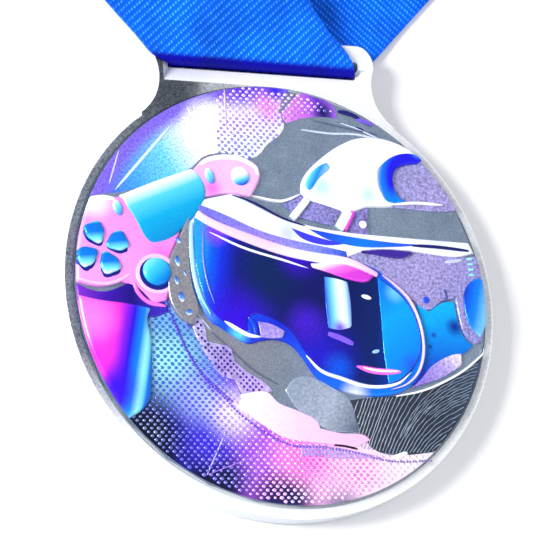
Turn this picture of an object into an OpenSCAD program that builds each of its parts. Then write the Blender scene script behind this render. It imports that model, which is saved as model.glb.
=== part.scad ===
// Medal on a neck ribbon, lying face up with the spare ribbon folded and banded behind it.
// Origin: centre of the medal's flat back. +Z is the way the face looks, +Y points to the ribbon.

/* [Medal] */
// Diameter of the medal's disc
disc_d = 60; // [50:1:70]
// Thickness of the cast disc and its ribbon loop
disc_t = 3.5; // [3.2:0.1:4.5]
// Radius on the disc's outer edges
edge_r = 0.5; // [0.2:0.1:0.8]

/* [Art plate] */
// Width of the plain rim left round the art plate
rim_w = 1.3; // [1:0.1:3]
// Thickness of the embossed art plate
plate_t = 1.2; // [0.8:0.1:1.6]
// Depth of the pocket that the plate sits in
pocket_depth = 0.4; // [0.2:0.1:0.8]
// Thickness of the adhesive film under the plate
film_t = 0.1; // [0.05:0.05:0.2]

/* [Ribbon loop] */
// Width of the slot that the ribbon passes through
slot_w = 27; // [26:0.5:30]
// Height of the slot
slot_h = 2.2; // [1.8:0.1:3]
// Distance from the disc's centre to the slot's lower edge
slot_y = 31.1; // [31:0.1:32]
// Height of the bar above the slot, seen from the front
bar_h = 2.7; // [2:0.1:3.5]
// Clear height under the bar for the back strand
under_bar = 0.95; // [0.8:0.05:1.2]
// Width of the loop at its waist
waist_w = 30.4; // [30:0.2:34]

/* [Ribbon] */
// Thickness of the woven ribbon
ribbon_t = 0.5; // [0.3:0.05:0.6]
// Width of the woven ribbon where it lies flat
ribbon_w = 25; // [22:1:26]
// Width that the gathered ribbon takes up across the bar
fold_w = 26.4; // [22:0.2:26.4]
// Angle of each strand's outer edge away from the medal's up direction
outer_lean = 42; // [36:1:44]
// Angle of each strand's inner edge away from the medal's up direction
inner_lean = 32; // [28:1:36]

/* [Bundle] */
// Length of the folded bundle
bundle_len = 80; // [70:1:84]
// Height of the folded layers
bundle_h = 5.5; // [5:0.5:7]
// Distance from the disc's centre to the bundle's middle
bundle_y = 61.5; // [60:0.5:64]
// Width of the paper band round the bundle
band_w = 9; // [6:1:9]
// How far the band sits to the right of the bundle's middle
band_x = 10.5; // [9:0.5:11]
// Thickness of the paper band
band_t = 0.3; // [0.2:0.1:0.5]

/* [Hidden] */
$fn = 96;
disc_r = disc_d / 2;
plate_r = disc_r - rim_w;
pocket_floor = disc_t - pocket_depth;
bar_y0 = slot_y + slot_h;
bar_y1 = bar_y0 + bar_h;
bar_round = 0.8;
tip_r = 3;
tip_out = 0.6;
shoulder_r = 7;
shoulder_x = waist_w / 2 + shoulder_r;
shoulder_y = sqrt(pow(disc_r + shoulder_r, 2) - pow(shoulder_x, 2));
neck_x = shoulder_x * disc_r / (disc_r + shoulder_r);
neck_y = 15;
corner_r = 0.4;
bevel_run = 2.3;
bevel_drop = 1.2;
bevel_end = 1.6;
bevel_side = 20;
plate_bevel = 0.25;
plate_play = 0.05;
adhesive_inset = 1;
layer_gap = 0.1;
slot_gap = 0.6;
fold_end_y = bar_y1 + 0.2;
strand_y0 = bar_y1 + 2.7;
bundle_y0 = bundle_y - ribbon_w / 2;
bundle_z0 = ribbon_t + band_t;
bundle_z1 = bundle_z0 + bundle_h;
mitre_x = inner_edge(bundle_y0) + ribbon_w * tan((outer_lean + inner_lean) / 2);
front_z = disc_t + 0.5;
stitch_d = 0.3;
stitch_len = 1.6;
stitch_pitch = 2.2;
stitch_rows = 2;
stitches = 8;
seam_x = 23;
seam_gap = 12;
seam_len = 15;
bundle_end_r = 1.5;

// A flat disc with rounded upper and lower edges.
module round_edged_disc(r, t, e) {
    rotate_extrude()
    union() {
        square([r - e, t]);
        translate([0, e]) square([r, t - 2 * e]);
        translate([r - e, e]) circle(e);
        translate([r - e, t - e]) circle(e);
    }
}

// The loop seen from the front: shoulders that run smoothly into the disc, a waist and round tips.
module loop_outline() {
    tip_x = waist_w / 2 + tip_out;
    difference() {
        union() {
            translate([-tip_x, neck_y]) square([2 * tip_x, bar_y1 - tip_r - neck_y]);
            translate([-tip_x + tip_r, neck_y]) square([2 * (tip_x - tip_r), bar_y1 - neck_y]);
            for (side = [-1, 1]) translate([side * (tip_x - tip_r), bar_y1 - tip_r]) circle(tip_r);
            translate([-neck_x, neck_y]) square([2 * neck_x, shoulder_y - neck_y]);
        }
        for (side = [-1, 1])
            translate([side * shoulder_x, shoulder_y]) circle(shoulder_r);
    }
}

// The loop's section along Y and Z, with soft edges on the bar and room for the ribbon below it.
module loop_section() {
    r = bar_round;
    union() {
        translate([neck_y, 0]) square([bar_y0 - neck_y, disc_t]);
        translate([neck_y, under_bar]) square([bar_y1 - r - neck_y, disc_t - under_bar]);
        translate([bar_y0, under_bar + r]) square([bar_h, disc_t - under_bar - 2 * r]);
        translate([bar_y1 - r, under_bar + r]) circle(r);
        translate([bar_y1 - r, disc_t - r]) circle(r);
    }
}

module loop_plate() {
    intersection() {
        linear_extrude(disc_t) loop_outline();
        translate([-disc_r, 0, 0]) rotate([90, 0, 90]) linear_extrude(disc_d) loop_section();
    }
}

module slot_hole() {
    x = slot_w / 2 - corner_r;
    translate([0, 0, -1])
    linear_extrude(disc_t + 2)
    union() {
        translate([-x, slot_y]) square([2 * x, slot_h]);
        translate([-slot_w / 2, slot_y + corner_r]) square([slot_w, slot_h - 2 * corner_r]);
        for (sx = [-1, 1], sy = [0, 1])
            translate([sx * x, slot_y + corner_r + sy * (slot_h - 2 * corner_r)]) circle(corner_r);
    }
}

// The polished slope that leads down into the slot: everything above a plane tilted down to it
// and above one more at each end.
module slot_bevel() {
    drop = atan(bevel_drop / bevel_run);
    low_z = disc_t - bevel_drop;
    intersection() {
        translate([0, slot_y, low_z]) rotate([-drop, 0, 0])
            translate([-bevel_side, -bevel_side / 4, 0]) cube([2 * bevel_side, bevel_side / 2, bevel_side]);
        translate([-bevel_side, slot_y - bevel_run, low_z])
            cube([2 * bevel_side, bevel_run + slot_h / 2, bevel_side]);
        bevel_end_space();
        mirror([1, 0, 0]) bevel_end_space();
    }
}

// What lies above the sloping plane at the slot's right-hand end.
module bevel_end_space() {
    drop = atan(bevel_drop / bevel_end);
    translate([slot_w / 2, slot_y, disc_t - bevel_drop]) rotate([0, -drop, 0])
        translate([-2 * bevel_side, -bevel_side / 2, 0])
        cube([2 * bevel_side + bevel_end, bevel_side, 2 * bevel_side]);
}

module medal_body() {
    color("lightslategray")
    difference() {
        union() {
            round_edged_disc(disc_r, disc_t, edge_r);
            loop_plate();
        }
        translate([0, 0, pocket_floor]) cylinder(r = plate_r + plate_play, h = disc_t);
        slot_hole();
        slot_bevel();
    }
}

module art_plate() {
    body_t = plate_t - plate_bevel;
    color("mediumorchid")
    translate([0, 0, pocket_floor + film_t])
    union() {
        cylinder(r = plate_r, h = body_t);
        translate([0, 0, body_t]) cylinder(r1 = plate_r, r2 = plate_r - plate_bevel, h = plate_bevel);
    }
}

module plate_adhesive() {
    color("white")
    translate([0, 0, pocket_floor]) cylinder(r = plate_r - adhesive_inset, h = film_t);
}

// A flat stretch of ribbon from y0 to y1 that leans over and spreads as it leaves the slot.
// side is -1 for the front strand, which leans left, and 1 for the back strand, which leans right.
module leaning_band(y0, y1, z, side) {
    translate([0, 0, z])
    linear_extrude(ribbon_t)
    polygon([
        [side * (outer_edge(y0)), y0],
        [side * (inner_edge(y0)), y0],
        [side * (inner_edge(y1)), y1],
        [side * (outer_edge(y1)), y1]
    ]);
}

function outer_edge(y) = fold_w / 2 + (y - slot_y) * tan(outer_lean);
function inner_edge(y) = -fold_w / 2 + (y - slot_y) * tan(inner_lean);

// The part of the fold above or below the bar: straight up to y_turn, then leaning and spreading.
module fold_flap(y_turn, z, side) {
    x = side * fold_w / 2;
    y0 = slot_y + slot_gap;
    translate([0, 0, z])
    linear_extrude(ribbon_t)
    polygon([
        [x, y0],
        [x, y_turn],
        [side * outer_edge(fold_end_y), fold_end_y],
        [side * inner_edge(fold_end_y), fold_end_y],
        [-x, y_turn],
        [-x, y0]
    ]);
}

module ribbon_fold() {
    top_z = disc_t + layer_gap;
    low_z = under_bar - layer_gap - ribbon_t;
    color("dodgerblue")
    union() {
        fold_flap(slot_y + slot_gap + ribbon_t, top_z, -1);
        fold_flap(bar_y0, low_z, 1);
        translate([-fold_w / 2, slot_y + slot_gap, low_z])
            cube([fold_w, ribbon_t, top_z + ribbon_t - low_z]);
    }
}

module ribbon_front_strand() {
    color("dodgerblue")
    leaning_band(strand_y0, bundle_y0, front_z, -1);
}

// Runs on under the bundle to the slanting fold where it turns to become the lowest layer.
module ribbon_back_strand() {
    color("royalblue")
    union() {
        leaning_band(strand_y0, bundle_y0, 0, 1);
        linear_extrude(ribbon_t)
        polygon([
            [inner_edge(bundle_y0), bundle_y0],
            [outer_edge(bundle_y0), bundle_y0],
            [mitre_x, bundle_y0 + ribbon_w]
        ]);
    }
}

// The folded layers: a flat block with round long folds at its two ends.
module ribbon_bundle() {
    r = bundle_end_r;
    color("dodgerblue")
    translate([0, bundle_y + ribbon_w / 2, bundle_z0])
    rotate([90, 0, 0])
    linear_extrude(ribbon_w)
    union() {
        translate([-bundle_len / 2 + r, 0]) square([bundle_len - 2 * r, bundle_h]);
        translate([-bundle_len / 2, r]) square([bundle_len, bundle_h - 2 * r]);
        for (sx = [-1, 1], sz = [0, 1])
            translate([sx * (bundle_len / 2 - r), r + sz * (bundle_h - 2 * r)]) circle(r);
    }
}

module seam_overlap() {
    color("dodgerblue")
    translate([seam_x - seam_len / 2, bundle_y0, bundle_z1])
        cube([seam_len, ribbon_w, ribbon_t]);
}

// Two rows of stitches across the seam, each a half-round thread lying on the ribbon.
module seam_stitching() {
    z = bundle_z1 + ribbon_t;
    color("midnightblue")
    for (row = [0 : stitch_rows - 1], n = [0 : stitches - 1])
        translate([
            seam_x + (row - 0.5) * seam_gap,
            bundle_y + (n - (stitches - 1) / 2) * stitch_pitch + stitch_len / 2,
            z
        ])
        rotate([90, 0, 0])
        linear_extrude(stitch_len)
        intersection() {
            circle(d = stitch_d, $fn = 24);
            translate([-stitch_d, 0]) square([2 * stitch_d, stitch_d]);
        }
}

// The space that the paper band takes up, filled.
module band_outside() {
    w = ribbon_w + 2 * band_t;
    h = bundle_h + 2 * band_t;
    translate([band_x - band_w / 2, bundle_y - w / 2, ribbon_t]) cube([band_w, w, h]);
}

module storage_band() {
    color("white")
    difference() {
        band_outside();
        translate([band_x - band_w, bundle_y0, bundle_z0]) cube([2 * band_w, ribbon_w, bundle_h]);
    }
}

medal_body();
art_plate();
plate_adhesive();
ribbon_fold();
ribbon_front_strand();
ribbon_back_strand();
ribbon_bundle();
seam_overlap();
seam_stitching();
storage_band();
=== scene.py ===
"""Looks of a medal on a folded neck ribbon, made piece by piece round its fixed frame."""
import math

import bmesh
import bpy
import numpy as np
from bpy.props import FloatProperty, FloatVectorProperty, IntProperty, PointerProperty
from mathutils import Matrix, Vector
from mathutils.geometry import delaunay_2d_cdt


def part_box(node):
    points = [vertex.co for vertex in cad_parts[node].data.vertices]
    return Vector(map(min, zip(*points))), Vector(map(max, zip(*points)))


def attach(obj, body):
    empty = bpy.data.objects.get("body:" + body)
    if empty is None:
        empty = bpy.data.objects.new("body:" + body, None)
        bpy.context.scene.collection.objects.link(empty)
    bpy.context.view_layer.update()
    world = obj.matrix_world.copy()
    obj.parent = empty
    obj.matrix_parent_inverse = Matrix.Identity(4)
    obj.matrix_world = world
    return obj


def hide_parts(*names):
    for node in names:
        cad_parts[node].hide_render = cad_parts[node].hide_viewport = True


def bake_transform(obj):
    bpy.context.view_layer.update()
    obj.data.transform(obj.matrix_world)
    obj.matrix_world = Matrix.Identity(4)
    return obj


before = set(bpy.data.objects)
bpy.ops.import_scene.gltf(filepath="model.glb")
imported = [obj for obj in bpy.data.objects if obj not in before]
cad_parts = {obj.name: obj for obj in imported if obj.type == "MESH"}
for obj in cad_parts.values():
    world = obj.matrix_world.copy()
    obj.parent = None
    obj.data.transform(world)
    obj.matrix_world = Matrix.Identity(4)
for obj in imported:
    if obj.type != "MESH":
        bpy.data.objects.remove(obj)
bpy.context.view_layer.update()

bl_info = {
    "name": "Neck Ribbon Medal",
    "version": (1, 0, 0),
    "blender": (4, 5, 0),
    "location": "View3D > Sidebar > Medal",
    "description": "Builds an embossed medal, its woven ribbon and a plain stage round the packed frame",
    "category": "Add Mesh",
}

MM = 0.001
PLATE_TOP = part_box("art_plate")[1].z / MM
PLATE_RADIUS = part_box("art_plate")[1].x / MM
PLATE_THICKNESS = 1.2
GROUND_DROP = 0.25
FACE_MARGIN = 0.3
COMB_ARC = (345, 312)
GROUND = PLATE_TOP - GROUND_DROP
FACE_RADIUS = PLATE_RADIUS - FACE_MARGIN
BUNDLE_LOW, BUNDLE_HIGH = (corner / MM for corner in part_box("ribbon_bundle"))
INK_SHINE = 0.22
WHITE = (250, 252, 255)


# ---------------------------------------------------------------- shader and geometry node helpers

def tint(red, green, blue):
    """A display colour, 0 to 255 a channel, as Blender's linear colour."""
    def linear(level):
        share = level / 255
        return share / 12.92 if share <= 0.04045 else ((share + 0.055) / 1.055) ** 2.4
    return (linear(red), linear(green), linear(blue), 1.0)


def deeper(colour, share=1.0):
    """A linear colour made darker by a share, with its alpha."""
    return (*[channel * share for channel in colour], 1)


class Wire:
    """One output of a node. Sums and products of wires add Math nodes."""

    def __init__(self, bench, socket):
        self.bench = bench
        self.socket = socket

    def _math(self, operation, first, second):
        return self.bench.node("ShaderNodeMath", {"operation": operation}, {0: first, 1: second})

    def __add__(self, other):
        return self._math("ADD", self, other)

    def __radd__(self, other):
        return self._math("ADD", other, self)

    def __sub__(self, other):
        return self._math("SUBTRACT", self, other)

    def __rsub__(self, other):
        return self._math("SUBTRACT", other, self)

    def __mul__(self, other):
        return self._math("MULTIPLY", self, other)

    def __rmul__(self, other):
        return self._math("MULTIPLY", other, self)

    def __lt__(self, other):
        return self._math("LESS_THAN", self, other)

    def __gt__(self, other):
        return self._math("GREATER_THAN", self, other)

    def larger(self, other):
        return self._math("MAXIMUM", self, other)


class Bench:
    """A node tree being wired."""

    def __init__(self, tree):
        self.tree = tree

    def node(self, kind, settings=None, sockets=None, output=0):
        """Adds a node: its settings first, then its sockets' values or links. Returns one output."""
        made = self.tree.nodes.new(kind)
        for key, value in (settings or {}).items():
            if key == "stops":
                self._set_stops(made.color_ramp, value)
            else:
                setattr(made, key, value)
        for key, value in (sockets or {}).items():
            if isinstance(value, Wire):
                self.tree.links.new(value.socket, made.inputs[key])
            else:
                made.inputs[key].default_value = value
        return Wire(self, made.outputs[output]) if len(made.outputs) else made

    def part(self, wire, axis):
        """One axis of a vector."""
        return self.node("ShaderNodeSeparateXYZ", {}, {0: wire}, output=axis)

    def wave(self, wire):
        return self.node("ShaderNodeMath", {"operation": "SINE"}, {0: wire})

    def rise(self, wire, start, end, soft=False):
        """0 up to start, 1 from end on, with soft ends or straight ones."""
        settings = {"interpolation_type": "SMOOTHSTEP"} if soft else {}
        return self.node("ShaderNodeMapRange", settings, {"Value": wire, "From Min": start, "From Max": end})

    @staticmethod
    def _set_stops(ramp, stops):
        while len(ramp.elements) > 1:
            ramp.elements.remove(ramp.elements[-1])
        ramp.elements[0].position = stops[0][0]
        ramp.elements[0].color = stops[0][1]
        for position, colour in stops[1:]:
            ramp.elements.new(position).color = colour


class Finish(Bench):
    """A material with one Principled shader."""

    def __init__(self, name, **constants):
        self.material = bpy.data.materials.new(name)
        self.material.use_nodes = True
        super().__init__(self.material.node_tree)
        self.tree.nodes.clear()
        surface = self.node("ShaderNodeBsdfPrincipled")
        self.shader = surface.socket.node
        self.node("ShaderNodeOutputMaterial", {}, {"Surface": surface})
        for key, value in constants.items():
            self.shader.inputs[key.replace("_", " ")].default_value = value
        self.place = self.node("ShaderNodeTexCoord", output="Object")

    def feed(self, socket, wire):
        self.tree.links.new(wire.socket, self.shader.inputs[socket])

    def mix(self, share, first, second):
        return self.node(
            "ShaderNodeMix", {"data_type": "RGBA"}, {0: share, 6: first, 7: second}, output=2
        )

    def scaled(self, wire, factor):
        """A colour times a number."""
        return self.node("ShaderNodeVectorMath", {"operation": "SCALE"}, {0: wire, "Scale": factor})

    def noise(self, size_mm, detail=2.0):
        return self.node(
            "ShaderNodeTexNoise", {}, {"Vector": self.place, "Scale": 1 / (size_mm * MM), "Detail": detail}
        )

    def along(self, start, end):
        """0 at start, 1 at end, measured along the line between them, in millimetres on the face."""
        a = Vector((start[0], start[1], 0)) * MM
        run = Vector((end[0], end[1], 0)) * MM - a
        offset = self.node("ShaderNodeVectorMath", {"operation": "SUBTRACT"}, {0: self.place, 1: a})
        return self.node(
            "ShaderNodeVectorMath",
            {"operation": "DOT_PRODUCT"},
            {0: offset, 1: run / run.length_squared},
            output="Value",
        )

    def near(self, x, y, radius, soft=1.0):
        """1 at a point of the face, falling smoothly to 0 at the radius."""
        flat = self.node("ShaderNodeVectorMath", {"operation": "MULTIPLY"}, {0: self.place, 1: (1, 1, 0)})
        distance = self.node(
            "ShaderNodeVectorMath", {"operation": "DISTANCE"}, {0: flat, 1: (x * MM, y * MM, 0)},
            output="Value",
        )
        return self.rise(distance, radius * MM, radius * MM * (1 - soft), soft=True)

    def bump(self, height, strength, depth_mm):
        raised = self.node(
            "ShaderNodeBump", {}, {"Height": height, "Strength": strength, "Distance": depth_mm * MM}
        )
        self.feed("Normal", raised)


def ink(name, start, end, stops, spots=(), rough=0.28, metal=0.25, grain=0.06, grain_mm=0.35, border=None):
    """Coloured ink over embossed metal: a ramp of colours from start to end with soft spots on it.
    A border is a radius from the face's centre, its softness and the colour beyond it."""
    look = Finish(name, Metallic=metal, Coat_Weight=0.15, Coat_Roughness=0.08)
    look.shader.inputs["Specular IOR Level"].default_value = INK_SHINE
    painted = look.node(
        "ShaderNodeValToRGB", {"stops": [(at, tint(*c)) for at, c in stops]}, {"Fac": look.along(start, end)}
    )
    if border:
        radius, soft, colour = border
        painted = look.mix(look.near(0, 0, radius, soft=soft), tint(*colour), painted)
    for x, y, radius, colour, *soft in spots:
        painted = look.mix(look.near(x, y, radius, soft=soft[0] if soft else 1.0), painted, tint(*colour))
    speckle = look.noise(grain_mm, 3.0)
    painted = look.scaled(painted, 1 + (speckle - 0.5) * (6 * grain))
    look.feed("Base Color", painted)
    look.feed("Roughness", rough + (look.noise(1.2) - 0.5) * 0.25)
    look.bump(speckle, min(1.0, 0.15 + 3 * grain), 0.05)
    return look.material


def plain_ink(name, colour, **options):
    """Ink of one colour."""
    return ink(name, (-28, 0), (28, 0), [(0.0, colour)], **options)


# ---------------------------------------------------------------- outline helpers, in millimetres

def smooth(points, closed=True, step=0.3, corner=48):
    """A smooth line through the points that keeps a corner where the turn is sharper than corner degrees."""
    p = np.array(points, float)
    n = len(p)
    count = n if closed else n - 1
    line = []
    for i in range(count):
        a, b = p[i], p[(i + 1) % n]
        chord = b - a
        length = np.linalg.norm(chord)
        tangents = []
        for j in (i, i + 1):
            j %= n
            ends_open = not closed and j in (0, n - 1)
            if ends_open:
                tangents.append(chord)
                continue
            before = p[j] - p[j - 1]
            after = p[(j + 1) % n] - p[j]
            lengths = np.linalg.norm(before), np.linalg.norm(after)
            cosine = before @ after / max(lengths[0] * lengths[1], 1e-9)
            if cosine < math.cos(math.radians(corner)):
                tangents.append(chord)
            else:
                mean = before / lengths[0] + after / lengths[1]
                tangents.append(mean / max(np.linalg.norm(mean), 1e-9) * length)
        steps = max(2, int(length / step))
        for t in np.arange(steps) / steps:
            h = (2 * t**3 - 3 * t**2 + 1, t**3 - 2 * t**2 + t, 3 * t**2 - 2 * t**3, t**3 - t**2)
            line.append(h[0] * a + h[1] * tangents[0] + h[2] * b + h[3] * tangents[1])
    if not closed:
        line.append(p[-1])
    return np.array(line)


def stroke(path, width, taper=0.5):
    """The outline of a raised line along an open path, narrower at its ends by the taper."""
    line = smooth(path, closed=False)
    direction = np.gradient(line, axis=0)
    direction /= np.linalg.norm(direction, axis=1)[:, None] + 1e-9
    normal = np.stack([-direction[:, 1], direction[:, 0]], 1)
    t = np.linspace(0, 1, len(line))
    half = width / 2 * (1 - taper * (2 * np.abs(t - 0.5)) ** 4)[:, None]
    return np.vstack([line + normal * half, (line - normal * half)[::-1]])


def oval(x, y, width, height, turn=0):
    """An ellipse's outline."""
    a = np.linspace(0, 2 * math.pi, 28, endpoint=False)
    c, s = math.cos(math.radians(turn)), math.sin(math.radians(turn))
    flat = np.stack([width / 2 * np.cos(a), height / 2 * np.sin(a)], 1)
    return flat @ np.array([[c, s], [-s, c]]) + (x, y)


def round_face(start, end):
    """Points along the face's round edge, from one angle to another in degrees."""
    count = max(3, int(abs(end - start) / 5))
    return [
        (FACE_RADIUS * math.cos(math.radians(a)), FACE_RADIUS * math.sin(math.radians(a)))
        for a in np.linspace(start, end, count)
    ]


def keep_on_face(loop, radius=FACE_RADIUS):
    """Moves points that lie beyond the face's edge back onto it."""
    reach = np.linalg.norm(loop, axis=1)
    return loop * np.minimum(1, radius / np.maximum(reach, 1e-9))[:, None]


def inside(points, loop):
    """Which points lie inside a closed outline."""
    x, y = points[:, 0:1], points[:, 1:2]
    a, b = loop, np.roll(loop, -1, 0)
    crosses = (a[:, 1] > y) != (b[:, 1] > y)
    rise = np.where(b[:, 1] == a[:, 1], 1e-12, b[:, 1] - a[:, 1])
    at = a[:, 0] + (y - a[:, 1]) * (b[:, 0] - a[:, 0]) / rise
    return (crosses & (x < at)).sum(1) % 2 == 1


def edge_distance(points, loop):
    """How far each point lies from a closed outline."""
    a, b = loop, np.roll(loop, -1, 0)
    run = b - a
    size = np.maximum((run**2).sum(1), 1e-12)
    nearest = np.full(len(points), 1e9)
    for start in range(0, len(loop), 64):
        part = slice(start, start + 64)
        offset = points[:, None] - a[part]
        t = np.clip((offset * run[part]).sum(2) / size[part], 0, 1)
        gap = np.linalg.norm(offset - t[..., None] * run[part], axis=2)
        nearest = np.minimum(nearest, gap.min(1))
    return nearest


# ---------------------------------------------------------------- mesh helpers

def new_object(name, mesh, finish, sharp=40):
    """A finished object from a mesh in metres, smooth except over sharp edges."""
    mesh.materials.clear()
    mesh.materials.append(finish)
    mesh.shade_smooth()
    mesh.set_sharp_from_angle(angle=math.radians(sharp))
    piece = bpy.data.objects.new(name, mesh)
    bpy.context.scene.collection.objects.link(piece)
    return piece


def relief(name, outline, top, finish, low=-0.05, edge=0.25, crown=0.0, pitch=0.9):
    """A closed raised piece on the face: an outline, a rounded edge and a crowned top, in millimetres."""
    loop = keep_on_face(np.asarray(outline, float))
    gaps = np.linalg.norm(np.roll(loop, -1, 0) - loop, axis=1)
    loop = loop[gaps > 0.03]
    area = (loop[:, 0] * np.roll(loop[:, 1], -1) - np.roll(loop[:, 0], -1) * loop[:, 1]).sum()
    if area < 0:
        loop = loop[::-1]
    run = np.roll(loop, -1, 0) - np.roll(loop, 1, 0)
    inward = np.stack([-run[:, 1], run[:, 0]], 1) / (np.linalg.norm(run, axis=1)[:, None] + 1e-9)
    seeds = []
    for share in (0.15, 0.4, 0.7, 1.0):
        ring = loop + inward * edge * share
        seeds.append(ring[edge_distance(ring, loop) > 0.93 * edge * share])
    low_xy, high_xy = loop.min(0), loop.max(0)
    grid = np.stack(
        np.meshgrid(np.arange(low_xy[0], high_xy[0], pitch), np.arange(low_xy[1], high_xy[1], pitch)), -1
    ).reshape(-1, 2)
    if len(grid):
        seeds.append(grid[edge_distance(grid, loop) > 1.2 * edge])
    inner = np.vstack(seeds)
    inner = inner[inside(inner, loop)]
    points = np.vstack([loop, inner])
    n = len(loop)
    flat = delaunay_2d_cdt(
        [Vector(q) for q in points], [(i, (i + 1) % n) for i in range(n)], [], 1, 1e-4
    )
    placed = np.array([list(v) for v in flat[0]])
    depth = edge_distance(placed, loop)
    rounding = 0.9 * min(edge, top - low)
    rise = np.sqrt(1 - (1 - np.clip(depth / edge, 0, 1)) ** 2)
    dome = 1 - (1 - np.clip(depth / max(depth.max(), 1e-6), 0, 1)) ** 2
    height = GROUND + top - rounding * (1 - rise) + crown * dome
    bm = bmesh.new()
    verts = [bm.verts.new((x * MM, y * MM, z * MM)) for (x, y), z in zip(placed, height)]
    for face in flat[2]:
        bm.faces.new([verts[i] for i in face])
    rim = [e for e in bm.edges if e.is_boundary]
    wall = bmesh.ops.extrude_edge_only(bm, edges=rim)["geom"]
    for v in wall:
        if isinstance(v, bmesh.types.BMVert):
            v.co.z = (GROUND + low) * MM
    bmesh.ops.holes_fill(bm, edges=[e for e in wall if isinstance(e, bmesh.types.BMEdge)], sides=0)
    bmesh.ops.dissolve_degenerate(bm, dist=1e-7, edges=bm.edges)
    bmesh.ops.recalc_face_normals(bm, faces=bm.faces)
    mesh = bpy.data.meshes.new(name)
    bm.to_mesh(mesh)
    bm.free()
    piece = new_object(name, mesh, finish)
    return settle(piece, "medal")


def settle(piece, body):
    """Puts a finished piece on its body."""
    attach(piece, body)
    return piece


def points_object(name, points, edges=()):
    """An object of bare points, in metres, for a node tree to build on."""
    mesh = bpy.data.meshes.new(name)
    mesh.from_pydata([tuple(p) for p in points], list(edges), [])
    holder = bpy.data.objects.new(name, mesh)
    bpy.context.scene.collection.objects.link(holder)
    return holder


def grow(name, holder, tree, sizes, body, sharp=60):
    """Runs a node tree on a holder, keeps its result as a plain mesh and puts that on a body."""
    modifier = holder.modifiers.new("grow", "NODES")
    modifier.node_group = tree
    for item in tree.interface.items_tree:
        if item.item_type == "SOCKET" and item.in_out == "INPUT" and item.name in sizes:
            modifier[item.identifier] = sizes[item.name]
    evaluated = holder.evaluated_get(bpy.context.evaluated_depsgraph_get())
    mesh = bpy.data.meshes.new_from_object(evaluated)
    holder.modifiers.remove(modifier)
    bpy.data.objects.remove(holder)
    if not len(mesh.polygons):
        raise RuntimeError(f"{name}: the node tree made nothing")
    finish = next(m for m in mesh.materials if m)
    mesh.name = name
    return settle(new_object(name, mesh, finish, sharp), body)


def new_tree(name, inputs):
    """A geometry node tree with a Geometry input and named sizes. Returns the bench and its inputs."""
    tree = bpy.data.node_groups.new(name, "GeometryNodeTree")
    face = tree.interface
    face.new_socket(name="Geometry", in_out="INPUT", socket_type="NodeSocketGeometry")
    for label, kind, default in inputs:
        face.new_socket(name=label, in_out="INPUT", socket_type=kind).default_value = default
    face.new_socket(name="Geometry", in_out="OUTPUT", socket_type="NodeSocketGeometry")
    bench = Bench(tree)
    entry = tree.nodes.new("NodeGroupInput")
    return bench, {s.name: Wire(bench, s) for s in entry.outputs if s.name}


def finish_tree(bench, geometry, finish):
    """Ends a geometry tree: real instances, one material, the output."""
    real = bench.node("GeometryNodeRealizeInstances", {}, {"Geometry": geometry})
    dressed = bench.node("GeometryNodeSetMaterial", {}, {"Geometry": real, "Material": finish})
    bench.node("NodeGroupOutput", {}, {"Geometry": dressed})
    return bench.tree


def dot_tree(finish):
    """Low domes on points, each a little larger or smaller than the next."""
    bench, given = new_tree(
        "Domes on points",
        [
            ("Width", "NodeSocketFloat", 0.8 * MM),
            ("Height", "NodeSocketFloat", 0.15 * MM),
            ("Turn", "NodeSocketFloat", 0.0),
            ("Length share", "NodeSocketFloat", 1.0),
            ("Seed", "NodeSocketInt", 1),
        ],
    )
    ball = bench.node("GeometryNodeMeshUVSphere", {}, {"Segments": 8, "Rings": 4, "Radius": 0.5})
    size = bench.node(
        "FunctionNodeRandomValue", {"data_type": "FLOAT"}, {2: 0.82, 3: 1.12, "Seed": given["Seed"]}, output=1
    )
    wide = size * given["Width"]
    scale = bench.node(
        "ShaderNodeCombineXYZ", {}, {"X": wide * given["Length share"], "Y": wide, "Z": given["Height"] * 2.0}
    )
    turn = bench.node("ShaderNodeCombineXYZ", {}, {"Z": given["Turn"]})
    domes = bench.node(
        "GeometryNodeInstanceOnPoints",
        {},
        {"Points": given["Geometry"], "Instance": ball, "Rotation": turn, "Scale": scale},
    )
    return finish_tree(bench, domes, finish)


def line_tree(finish):
    """Thin raised lines along the holder's edges."""
    bench, given = new_tree("Raised lines", [("Width", "NodeSocketFloat", 0.15 * MM)])
    path = bench.node("GeometryNodeMeshToCurve", {}, {"Mesh": given["Geometry"]})
    section = bench.node(
        "GeometryNodeCurvePrimitiveCircle", {}, {"Resolution": 5, "Radius": given["Width"] * 0.5}
    )
    tube = bench.node(
        "GeometryNodeCurveToMesh", {}, {"Curve": path, "Profile Curve": section, "Fill Caps": True}
    )
    return finish_tree(bench, tube, finish)


# ---------------------------------------------------------------- metal

BEVEL_LOW, BEVEL_HIGH = 28.4, 31.2
LEVEL_FROM, SLOPED_FROM, SIDE_FROM = 0.97, 0.3, -0.5


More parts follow.
